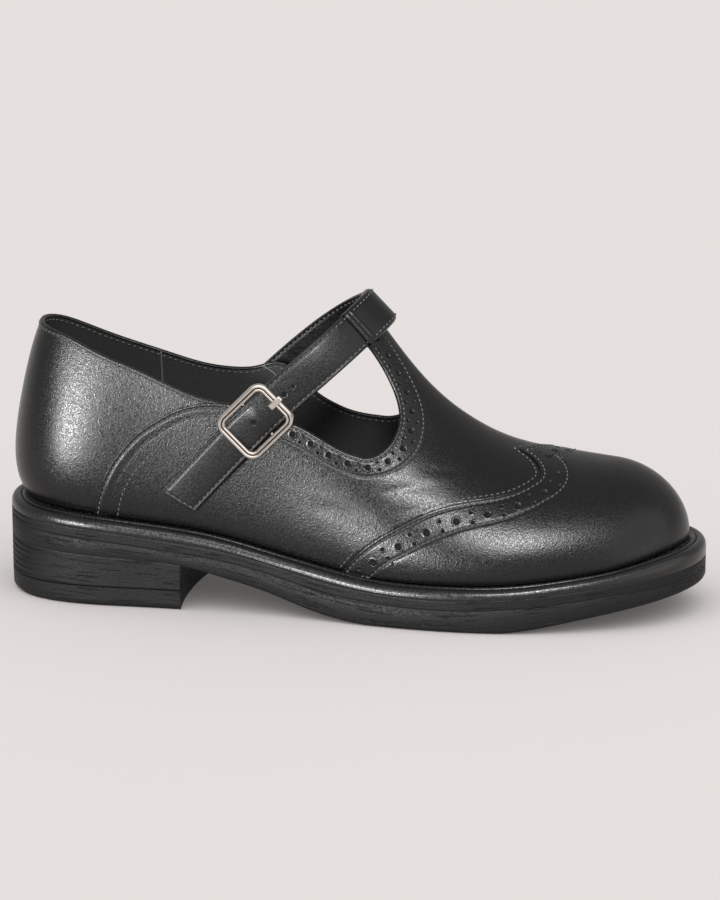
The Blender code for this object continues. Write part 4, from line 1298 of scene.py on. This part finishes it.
def heel_panel_edge():
    """The quarters' rear edge, which laps over the heel panel, and its two rows of stitches."""
    distances = lip_distances(PANEL_EDGE_WIDTH, 0.3)
    profile = edge_round(distances, VAMP_PANEL_LIFT + 0.1, HEEL_PANEL_LIFT - LIP_FOOT)
    profile = profile + stitch_trough(distances, PANEL_STITCH)
    profile = profile - 0.1 * smooth(2.6, 5.0, distances) - 0.4 * smooth(5.2, 6.3, distances)
    pieces = []
    for side in SIDES:
        line = HEEL_PANEL[side]
        _, _, heading = line_frame(WALL, *line, side)
        rows = beside(WALL, *line, distances, np.ones(len(heading)), heading)
        pieces.append(band("heel_panel_edge", "stitches_heel_panel", WALL, rows, distances, profile,
                           [PANEL_STITCH]))
        second, normals = raised(WALL, *panel_line(SECOND_ROW_ROWS, side, 0.5), VAMP_PANEL_LIFT)
        sew("stitches_heel_panel", second, normals, stand=0.1)
    hand_over(joined("heel_panel_edge", pieces), LEATHER)


def collar_fold():
    """The rim of collar, cut-outs and T-bar: leather folded over the edge and sewn to the lining."""
    lines = {}
    for side in SIDES:
        length, climb = OPENING[side]
        point, normal, heading = line_frame(WALL, length, climb, side)
        station = station_at(length)
        lift = fold_lift(station)[:, None]
        lines[side] = (point, heading, normal, lift)
        collar = station < THROAT_START + 1
        row = point + heading * COLLAR_STITCH + normal * (lift + STITCH_STAND)
        sew("stitches_collar", row[collar], normal[collar])
        row = point + heading * (COLLAR_STITCH + 0.4) - normal * (SHOWN_WALL + 0.12 - lift)
        sew("stitches_lining", row, -normal, LONG_PITCH)
    point, heading, normal, lift = (
        np.concatenate([inner[::-1], outer[1:]]) for inner, outer in zip(lines[1], lines[-1]))
    inset = column(FOLD_ROWS, "inset")
    height = column(FOLD_ROWS, "height") + lift
    points = point[:, None] + heading[:, None] * inset[None, :, None] + normal[:, None] * height[..., None]
    # painted shade in the trough of the collar's stitches, twice as dark as elsewhere
    shade = np.broadcast_to(2 * trough_shade(inset, COLLAR_STITCH), points.shape[:2])
    hand_over(rolled("collar_fold", points, {"pit_and_painted_shade": shade}), LEATHER)


def lining_seams():
    """Seams of the lining: a low ridge down each side of the heel, and one by the inner side of the strap."""
    pieces = []
    for row in LINING_SEAM_ROWS:
        length = length_at(np.linspace(row.station, row.end_station, LINING_SEAM_POINTS), row.side)
        top = quarter_climb(length, row.side)
        climb = top - (top - row.end_climb) * np.linspace(0.01, 1, LINING_SEAM_POINTS)
        point, normal = raised(WALL, length, climb, fold_lift(row.station) - SHOWN_WALL)
        pieces.append(tube("lining_seam", point, normal, LINING_SEAM_RADIUS))
    hand_over(joined("lining_seams", pieces), LINING_EDGE)


# The sole

SOLE_COLUMNS = 280
HEEL_COLUMNS = 149
PLATE_ROWS = 41
EDGE_CROWDING = 0.6


def sole_sides(inset):
    """Outer and inner edge of the sole from heel to toe, with points closer together at both ends."""
    even = np.linspace(0, 1, SOLE_COLUMNS + 1)
    share = EDGE_CROWDING * (1 - np.cos(math.pi * even)) / 2 + (1 - EDGE_CROWDING) * even
    return edge(share * TOE_LENGTH, inset), edge(LAP - share * (LAP - TOE_LENGTH), inset)


def heel_sides(inset):
    """Outer and inner edge of the heel from its back to its front."""
    share = np.linspace(0, 1, HEEL_COLUMNS + 1)
    sides = []
    for side in SIDES:
        end = HEEL_LENGTH[side]
        corner = np.interp(BREAST_STATION, *station_table(side, np.ravel(inset)[-1]))
        sides.append(edge(end + (corner - end) * share, inset))
    return sides


def plate(name, sides, rows, relief=None, hollow=0.0, flare=0.0, level=joint):
    """A layer of the sole: rows of inset and height up its wall, with its faces closed across.

    relief cuts the underside; hollow draws in the front face, which is then closed; flare turns it outwards.
    """
    share = np.linspace(0, 1, PLATE_ROWS + 1)
    bow = hollow * (1 - (2 * share - 1) ** 2)
    walls = []
    for inset, height in rows:
        outer, inner = sides(inset)
        flat = outer[:, None] * (1 - share)[None, :, None] + inner[:, None] * share[None, :, None]
        ramp = np.linspace(0, 1, len(flat)) ** BREAST_RAMP
        flat[..., 0] += ramp[:, None] * (flare * share - bow)[None, :]
        walls.append(np.concatenate([flat, height(flat[..., 0])[..., None]], axis=-1))
    if relief:
        walls[0][..., 2] += relief(walls[0])
    inner_wall = [wall_row[:, -1:] for wall_row in walls[1:-1]]
    outer_wall = [wall_row[:, :1] for wall_row in walls[-2:0:-1]]
    closed = np.concatenate([walls[0], *inner_wall, walls[-1][:, ::-1], *outer_wall, walls[0][:, :1]], axis=1)
    shells = [closed]
    if hollow:
        front = np.stack([wall_row[-1] for wall_row in walls], axis=1)
        low = front[0, 0, 2]
        high = front[0, -1, 2]
        for k in range(1, len(walls) - 1):
            part = (front[0, k, 2] - low) / (high - low)
            front[1:-1, k] = front[1:-1, 0] * (1 - part) + front[1:-1, -1] * part
        shells.append(front)
    pieces = [sheet(name, shell, {"layer": (shell[..., 2] - level(shell[..., 0])) * MM}) for shell in shells]
    obj = joined(name, pieces)
    weld(obj, merge=0.01)
    return obj


def tread_bevel(x):
    share = (x - BREAST_STATION) / (2 * WELT_INNER)
    return TREAD_BEVEL * np.clip(share, SEAM_CHAMFER / TREAD_BEVEL, 1)


def tread_relief(points):
    """Shallow grooves across the tread, inside a plain border."""
    x = points[..., 0]
    half = np.linalg.norm(points[:, -1, :2] - points[:, 0, :2], axis=-1)[:, None] / 2
    middle = (points[:, :1, :2] + points[:, -1:, :2]) / 2
    border = half - np.linalg.norm(points[..., :2] - middle, axis=-1)
    inside = smooth(TREAD_BORDER, TREAD_BORDER + 0.8, border)
    inside = inside * smooth(BREAST_STATION + 12, BREAST_STATION + 14, x)
    inside = inside * (1 - smooth(TOE_END - 12, TOE_END - 10, x))
    wave = np.cos(2 * math.pi * x / TREAD_PITCH)
    return TREAD_DEPTH * inside * smooth(0.1, 0.6, wave)


def wall_rows(low, high, steps, sides):
    """Rows of a wall between two seams: a chamfer at each end and, at the heel's back, fine ribs between."""
    station = sides(0.0)[0][:, 0]
    fade = 1 - smooth(HEEL_END + 3, HEEL_END + 22, station)
    rows = [(SEAM_CHAMFER, low)]
    for share in np.linspace(0, 1, steps):
        def height(x, share=share):
            return low(x) + SEAM_DROP + (high(x) - low(x) - 2 * SEAM_DROP) * share
        way = height(np.array(HEEL_END))
        rows.append((RIB_DEPTH * fade * smooth(0.2, 0.9, math.cos(2 * math.pi * way / RIB_PITCH)), height))
    rows.append((SEAM_CHAMFER, high))
    return rows


def level_at(z):
    """A height that is the same at every station."""
    return lambda x: np.full_like(x, z)


def sole():
    """Outsole with its tread, midsole, and the sock inside the shoe."""
    bevel = tread_bevel(sole_sides(0.0)[0][:, 0])
    rows = [
        (bevel, tread),
        (bevel * 0.3, lambda x: tread(x) + tread_bevel(x) * 0.35),
        (0.0, lambda x: tread(x) + tread_bevel(x)),
        (0.0, lambda x: joint(x) - SEAM_DROP),
        (SEAM_CHAMFER, lambda x: joint(x) - SEAM_GAP),
    ]
    obj = plate("outsole_rubber", sole_sides, rows, relief=tread_relief)
    hand_over(obj, RUBBER, "outsole", sharp=40)

    rows = wall_rows(lambda x: joint(x) + SEAM_GAP, lambda x: welt_base(x) - SEAM_GAP, 9, sole_sides)
    hand_over(plate("midsole_rubber", sole_sides, rows), RUBBER, "midsole", sharp=40)

    inset = WELT_LEDGE + UPPER_WALL + 2 * GAP
    top = INSOLE_THICKNESS + GAP
    rows = [
        (inset, lambda x: ledge(x) + GAP),
        (inset, lambda x: ledge(x) + top - SOCK_ROUND),
        (inset + SOCK_ROUND, lambda x: ledge(x) + top),
    ]
    hand_over(plate("insole_sock", sole_sides, rows, level=ledge), LINING, "insole", sharp=40)


def welt():
    """The welt strip round the whole shoe: rounded shoulder, groove, and bead beside the upper."""
    lengths = np.linspace(0, LAP, 720, endpoint=False)
    inset = column(WELT_ROWS, "inset")
    below = column(WELT_ROWS, "below_ledge")
    way = arc_lengths(np.column_stack([inset, below]))
    close = np.concatenate([np.linspace(0, way[-2], 40), way[-1:]])
    rows = [(SEAM_CHAMFER, lambda x: welt_base(x) + SEAM_GAP), (0.0, lambda x: welt_base(x) + SEAM_DROP)]
    for place_inset, place_below in zip(np.interp(close, way, inset), spline(way, below, close)):
        rows.append((place_inset, lambda x, drop=place_below: ledge(x) - drop))
    rows.append((WELT_INNER, lambda x: welt_base(x) + SEAM_GAP))
    columns = []
    for place_inset, height in rows:
        flat = edge(lengths, place_inset)
        columns.append(np.column_stack([flat, height(flat[:, 0])]))
    points = np.stack(columns, axis=1)
    layer = (points[..., 2] - ledge(points[..., 0])) * MM
    obj = rolled("welt_strip", points, {"layer": layer}, loop=True)
    hand_over(obj, WELT_RUBBER, "welt", sharp=50)


def heel():
    """The heel block under the outsole, and the top lift under the block."""
    block = wall_rows(level_at(TOP_LIFT_HEIGHT + GAP / 2), lambda x: tread(x) - SEAM_GAP, 40, heel_sides)
    lift = [
        (TREAD_BEVEL, level_at(0.0)),
        (SEAM_CHAMFER, level_at(TREAD_BEVEL)),
        (0.15, level_at(2.6)),
        (0.0, level_at(TOP_LIFT_HEIGHT - SEAM_DROP)),
        (SEAM_CHAMFER, level_at(TOP_LIFT_HEIGHT - GAP / 2)),
    ]
    for solid, rows, share in (("heel_block", block, 0.5), ("heel_top_lift", lift, 0.25)):
        obj = plate(solid + "_rubber", heel_sides, rows, hollow=BREAST_HOLLOW, flare=BREAST_FLARE,
                    level=lambda x, share=share: share * tread(x))
        hand_over(obj, RUBBER, solid, sharp=40)


# Strap, loop and buckle

def strap_frame():
    """The strap's plane: the ridge's outermost place under it, its width direction and its outward one."""
    rake = math.radians(STRAP_RAKE)
    across = np.array([-math.sin(rake), 0.0, math.cos(rake)])
    out = np.array([math.cos(rake), 0.0, math.sin(rake)])
    stations = STRAP_CROWN + np.linspace(-0.5, 0.5, 9) * STRAP_WIDTH * math.sin(rake)
    ridge = np.column_stack([stations, 0 * stations, read(RIDGE_ROWS, "height", stations)])
    crown = ridge[len(ridge) // 2]
    return crown + max((ridge - crown) @ out) * out, across, out


CROWN, ACROSS, OUT = strap_frame()
INWARDS = np.array([0.0, 1.0, 0.0])


def strap_reach(drop, side):
    """Widest reach of the last under the strap at a drop below the crown, and the strap's bend there."""
    bend = read(STRAP_ROWS, "outer_bend" if side < 0 else "inner_bend", drop)
    breadth = np.linspace(-0.5, 0.5, 5) * STRAP_WIDTH + bend
    place = CROWN - drop * OUT + breadth[:, None] * ACROSS
    length = length_at(place[:, 0], side)
    return max(side * last_point(length, angle_at_height(length, place[:, 2]))[:, 1]), bend


def strap_path(count):
    """The strap's under face from the outer end over the crown to the inner end, in its own plane.

    Gives the sideways place and height over the crown, the bend towards the heel, and the outward normal.
    """
    knots = [(0.0, 0.0, STRAP_ROWS[0].outer_bend)]
    for side, end in ((-1, STRAP_OUTER_DROP), (1, STRAP_INNER_DROP)):
        leg = []
        for drop in end * np.linspace(0, 1, 9)[1:] ** 2:
            reach, bend = strap_reach(drop, side)
            leg.append((side * reach, -drop, bend))
        knots = leg[::-1] + knots if side < 0 else knots + leg
    knots = np.array(knots)
    lengths = arc_lengths(knots[:, :2])
    places = np.linspace(0, lengths[-1], count)
    line = np.column_stack([spline(lengths, knots[:, k], places) for k in (0, 1)])
    along = unit(np.gradient(line, axis=0))
    normal = np.column_stack([-along[:, 1], along[:, 0]])
    lift = read(STRAP_ROWS, "lift", -line[:, 1])
    return line + normal * lift[:, None], spline(lengths, knots[:, 2], places), normal


STRAP_LINE, STRAP_BEND, STRAP_NORMAL = strap_path(481)
STRAP_PEAK = int(np.argmax(STRAP_LINE[:, 1]))
STRAP_WAY = arc_lengths(STRAP_LINE) - arc_lengths(STRAP_LINE)[STRAP_PEAK]
STRAP_START = STRAP_WAY[0]
STRAP_END = STRAP_WAY[-1]
STRAP_MIDDLE = CROWN + np.column_stack([STRAP_BEND, STRAP_LINE[:, ::-1]]) @ np.array([ACROSS, OUT, INWARDS])
STRAP_OUT = STRAP_NORMAL[:, ::-1] @ np.array([OUT, INWARDS])
STRAP_ACROSS = unit(np.cross(STRAP_OUT, unit(np.gradient(STRAP_MIDDLE, axis=0))))
STRAP_ACROSS = STRAP_ACROSS * np.sign(STRAP_ACROSS @ ACROSS)[:, None]


def strap_place(along, breadth, height):
    """A place on the strap: way from the crown, distance across it, and height over its under face."""
    along, breadth, height = np.broadcast_arrays(*(np.asarray(v, float) for v in (along, breadth, height)))
    rows = (STRAP_MIDDLE, STRAP_ACROSS, STRAP_OUT)
    middle, across, out = (along_row(along, STRAP_WAY, row) for row in rows)
    return middle + breadth[..., None] * across + height[..., None] * out


def sew_strap(seam, along, breadth, level, way=1, pitch=STITCH_PITCH):
    """A row of stitches on the strap or its loop: way is 1 on the upper face and -1 on the under face."""
    row = strap_place(along, breadth, level)
    sew(seam, row, (strap_place(along, breadth, level + 1) - row) * way, pitch)


def buckle_axes():
    """Middle of the buckle on the strap's upper face, with its directions up the strap, across and out."""
    along = float(np.interp(-BUCKLE_DROP, STRAP_LINE[:STRAP_PEAK, 1], STRAP_WAY[:STRAP_PEAK]))
    up = unit(strap_place(along + 5, 0.0, 0.0) - strap_place(along - 5, 0.0, 0.0))
    out = unit(np.cross(up, ACROSS))
    return along, strap_place(along, 0.0, STRAP_THICKNESS), up, np.cross(out, up), out


BUCKLE_ALONG, BUCKLE_MIDDLE, BUCKLE_UP, BUCKLE_ACROSS, BUCKLE_OUT = buckle_axes()


def buckle_place(up, across, out):
    up, across, out = (np.asarray(v, float)[..., None] for v in np.broadcast_arrays(up, across, out))
    return BUCKLE_MIDDLE + up * BUCKLE_UP + across * BUCKLE_ACROSS + out * BUCKLE_OUT


def rounded_section(half, low, high, radius, flat_count):
    """A rounded rectangle, from its lower left corner along the under face, up and back over the top."""
    points = []
    for turn, (u, v) in enumerate(((-1, -1), (1, -1), (1, 1), (-1, 1))):
        middle = (u * (half - radius), (high - radius) if v > 0 else (low + radius))
        for angle in np.radians(np.linspace(180, 270, 7) + 90 * turn):
            points.append((middle[0] + radius * math.cos(angle), middle[1] + radius * math.sin(angle)))
        if turn in (0, 2):
            level = low if turn == 0 else high
            for place in np.linspace(points[-1][0], -u * (half - radius), flat_count + 2)[1:-1]:
                points.append((place, level))
    return np.array(points)


def slanted(along, breadth):
    """The way along the strap, drawn in near its outer end, which is cut at a slant."""
    reach = 1 - smooth(0.0, STRAP_SLANT_REACH, along - STRAP_START)
    return along + STRAP_SLANT * (1 - 2 * breadth / STRAP_FACE) / 2 * reach


def quarter_round(radius, to_end):
    """How far a rounded corner draws in at a distance from the end."""
    return radius - np.sqrt(np.maximum(radius ** 2 - np.maximum(radius - to_end, 0) ** 2, 0))


def strap():
    """The strap: two plies with painted edges, stitched all round and punched."""
    half = STRAP_FACE / 2
    middle = STRAP_THICKNESS / 2
    corner = STRAP_CORNER * (1 - np.cos(np.linspace(0, RIGHT_ANGLE, 12)))
    first = STRAP_START + STRAP_CORNER + STRAP_STEP
    last = STRAP_END - STRAP_CORNER - STRAP_STEP
    run = np.arange(first, last, STRAP_STEP)
    along = np.concatenate([STRAP_START + corner, run, STRAP_END - corner[::-1]])[:, None]
    to_end = np.minimum(along - STRAP_START, STRAP_END - along)
    cut = quarter_round(STRAP_CORNER, to_end)
    thin = quarter_round(STRAP_EDGE, to_end)
    profile = rounded_section(half, 0.0, STRAP_THICKNESS, STRAP_EDGE, 44)
    breadth = profile[:, 0] * ((half - cut) / half)
    height = middle + (profile[:, 1] - middle) * ((middle - thin) / middle)
    top = smooth(middle, STRAP_THICKNESS, profile[:, 1])[None, :] * 2 - 1
    from_edge = np.minimum(half - cut - np.abs(breadth), to_end)
    bulge = STRAP_BULGE * bell(along - BUCKLE_ALONG - 2.0, 4.5)
    crown = (STRAP_DOME + bulge) * (1 - (breadth / half) ** 2) * (top > 0)
    height = height + top * stitch_trough(from_edge, STRAP_STITCH, half_width=0.5) + crown
    ply = bell(height - middle, 0.16) * (np.abs(top) < 0.999)
    breadth = breadth * (1 - 0.012 * ply)
    pit_and_painted_shade = np.zeros(height.shape)
    for row in STRAP_HOLE_ROWS:
        gap = np.hypot(along - BUCKLE_ALONG - row.up, breadth) / row.radius
        pit_and_painted_shade = np.maximum(pit_and_painted_shade, (1 - smooth(0.72, 1.05, gap)) * (top > 0.5))
    points = strap_place(slanted(along, breadth), breadth, height - pit_and_painted_shade * HOLE_DEPTH)
    # painted shade in the stitch troughs of the upper face and in the punched holes
    shade = trough_shade(from_edge, STRAP_STITCH) * (top > 0.5)
    obj = rolled("strap_leather", points, {"pit_and_painted_shade": np.maximum(pit_and_painted_shade, shade)})
    hand_over(obj, STRAP_LEATHER, "strap")

    line = half - STRAP_STITCH
    ends = (STRAP_START + STRAP_STITCH, STRAP_END - STRAP_STITCH)
    rows = [(np.arange(*ends, 0.4), side * line) for side in SIDES]
    across = np.linspace(-line, line, 30)
    rows += [(np.full(len(across), end), across) for end in ends]
    for level, way in ((STRAP_THICKNESS + 0.08, 1), (0.12, -1)):
        for places, breadths in rows:
            sew_strap("stitches_strap", slanted(places, breadths), breadths, level, way, LONG_PITCH)


def strap_loop():
    """A flat sleeve round the strap where it crosses the T-bar, with a piped seam at its outer end."""
    inner_half = STRAP_FACE / 2 + 0.1
    outer_half = inner_half + LOOP_SIDE
    low = -GAP
    high = STRAP_THICKNESS + GAP + STRAP_DOME
    inside = rounded_section(inner_half, low, high, 0.4, 30)
    outside = rounded_section(outer_half, low - LOOP_FLOOR, high + LOOP_WALL, LOOP_ROUND, 30)
    mean = (inside + outside) / 2
    run = np.linspace(-LOOP_OUTER_LENGTH, LOOP_INNER_LENGTH, 90)
    turn = np.linspace(0, math.pi, 7)[1:-1]
    rings = [(place, outside) for place in run]
    rings += [(run[-1] + LOOP_LIP * math.sin(t), mean + (outside - mean) * math.cos(t)) for t in turn]
    rings += [(place, inside) for place in run[::-1]]
    rings += [(run[0] - LOOP_LIP * math.sin(t), mean - (outside - mean) * math.cos(t)) for t in turn]
    along = np.array([ring[0] for ring in rings])[:, None]
    profile = np.array([ring[1] for ring in rings])
    outer_face = np.arange(len(rings)) < len(run)
    top = outer_face[:, None] & (profile[..., 1] > STRAP_THICKNESS / 2)
    pipe = sum(bell(along - run[0] - place, 0.45) for place in LOOP_PIPES)
    trough = stitch_trough(outer_half - np.abs(profile[..., 0]), LOOP_STITCH, depth=0.18, half_width=0.5)
    points = strap_place(along, profile[..., 0], profile[..., 1] + top * (LOOP_PIPE_HEIGHT * pipe + trough))
    obj = rolled("strap_loop_leather", points, loop=True)
    hand_over(obj, STRAP_LEATHER, "strap_loop", sharp=60)
    for side in SIDES:
        sew_strap("stitches_loop", run[12:-3], side * (outer_half - LOOP_STITCH), high + LOOP_WALL + 0.05)


def frame_outline(inset):
    """The buckle's outline moved in by an inset: round corners joined by straight bars."""
    radius = max(BUCKLE_CORNER - inset, 0.8)
    middle = np.array([BUCKLE_LENGTH, BUCKLE_WIDTH]) / 2 - inset - radius
    corners = []
    for turn, signs in enumerate(((1, 1), (-1, 1), (-1, -1), (1, -1))):
        angle = np.radians(np.linspace(0, 90, 15) + 90 * turn)
        corners.append(middle * signs + radius * np.column_stack([np.cos(angle), np.sin(angle)]))
    share = np.linspace(0, 1, 11)[1:-1, None]
    points = []
    for corner, following in zip(corners, corners[1:] + corners[:1]):
        points += [corner, corner[-1] + (following[0] - corner[-1]) * share]
    return np.vstack(points)


QUARTER_TURN = np.linspace(0, RIGHT_ANGLE, 8)
FRAME_LOW = 2 * GAP


def buckle_frame():
    """A cast frame with two beads and a groove, and a hinge bar under the strap."""
    inset = column(FRAME_ROWS, "inset")
    height = FRAME_LOW + column(FRAME_ROWS, "height")
    rings = np.stack([buckle_place(*frame_outline(i).T, h) for i, h in zip(inset, height)], axis=1)
    # the groove between the beads gets painted shade
    groove = np.broadcast_to(bell(inset - GROOVE_INSET, 0.2), rings.shape[:2])
    bars = rolled("buckle_frame_nickel", rings, {"pit_and_painted_shade": groove}, loop=True)

    bottom = -STRAP_THICKNESS - GAP - HINGE_BAR / 2
    leg = BUCKLE_WIDTH / 2 - 0.7
    bend = 1.2
    half = [(-leg, FRAME_LOW + 0.5)]
    half += [(-leg + bend * (1 - math.cos(t)), bottom + bend * (1 - math.sin(t))) for t in QUARTER_TURN]
    path = np.array(half + [(-across, level) for across, level in half[::-1]])
    line = buckle_place(0.0, path[:, 0], path[:, 1])
    hinge = tube("hinge_bar", line, np.broadcast_to(BUCKLE_UP, line.shape), HINGE_BAR / 2, 16)
    hand_over(joined("buckle_frame_nickel", [bars, hinge]), NICKEL, "buckle_frame", sharp=60)


def buckle_prong():
    """A bent strip from the hinge bar up through the strap's slot and over the frame's upper bar."""
    start = HINGE_BAR / 2 + GAP
    under = -STRAP_THICKNESS - 2 * GAP - PRONG_THICKNESS / 2
    over = 3 * GAP + BUCKLE_HEIGHT + PRONG_THICKNESS / 2
    tip = BUCKLE_LENGTH / 2 + PRONG_THICKNESS
    bend = 0.9
    route = [(start, under)]
    for t in QUARTER_TURN:
        route.append((PRONG_SLOT - bend + bend * math.sin(t), under + bend * (1 - math.cos(t))))
    for t in QUARTER_TURN:
        route.append((PRONG_SLOT + bend * (1 - math.cos(t)), over - bend + bend * math.sin(t)))
    route += [(tip - 0.6, over), (tip, over)]
    route = np.array(route)[:, None]
    heading = unit(np.gradient(route, axis=0))
    scale = np.ones((len(route), 1))
    scale[-1] = 0.78
    profile = rounded_section(PRONG_SHOWN_WIDTH / 2, -PRONG_THICKNESS / 2, PRONG_THICKNESS / 2, 0.4, 4)
    across, thick = (profile[:, k] * scale for k in (0, 1))
    up = route[..., 0] - heading[..., 1] * thick
    out = route[..., 1] + heading[..., 0] * thick
    points = buckle_place(up, across, out)
    hand_over(rolled("buckle_prong_nickel", points), NICKEL, "buckle_prong", sharp=50)


# Studio

def studio():
    """Camera at the photo's angle, pale floor, even surroundings, and softboxes for each finish."""
    camera = bpy.data.cameras.new("camera")
    camera.lens = CAMERA_LENS
    camera.sensor_width = SENSOR
    camera.clip_end = 50.0
    obj = add_object("camera", camera)
    obj.location = Vector(CAMERA_PLACE) * MM
    obj.rotation_euler = (Vector(CAMERA_TARGET) - Vector(CAMERA_PLACE)).to_track_quat("-Z", "Y").to_euler()
    bpy.context.scene.camera = obj

    bpy.ops.object.select_all(action="DESELECT")
    bpy.ops.mesh.primitive_plane_add(size=14.0)
    floor = bpy.context.object
    floor.name = "studio_floor"
    floor.data.materials.append(painted_board("studio_paint_matt"))

    world = bpy.data.worlds.new("studio")
    bpy.context.scene.world = world
    world.use_nodes = True
    ground = world.node_tree.nodes["Background"]
    ground.inputs["Color"].default_value = hex_colour("#fbf8f6")
    ground.inputs["Strength"].default_value = WORLD_LIGHT

    lit = {name: bpy.data.collections.new(name + "_light") for name in ("floor", "fill", "leather", "buckle")}
    lit["fill"].objects.link(floor)
    for piece in bpy.context.scene.objects:
        if piece.type == "MESH":
            name = "floor" if piece == floor else "buckle" if piece.name.startswith("buckle") else "leather"
            lit[name].objects.link(piece)
    for row in LIGHT_ROWS:
        light = bpy.data.lights.new(row.name, "SUN")
        light.energy = row.power
        light.angle = math.radians(row.spread)
        lamp = add_object(row.name, light)
        lamp.light_linking.receiver_collection = lit[row.lights]
        if row.lights != "floor":
            lamp.light_linking.blocker_collection = lit[row.lights]
        turn, rise = math.radians(row.turn), math.radians(row.rise)
        away = Vector((math.sin(turn) * math.cos(rise), -math.cos(turn) * math.cos(rise), math.sin(rise)))
        lamp.location = away * 2
        lamp.rotation_euler = away.to_track_quat("Z", "Y").to_euler()
    bpy.context.scene.view_settings.view_transform = "Standard"


upper_leather()
wing_band()
throat_band()
heel_panel_edge()
collar_fold()
lining_seams()
sole()
welt()
heel()
strap()
strap_loop()
buckle_frame()
buckle_prong()
make_seams()
studio()
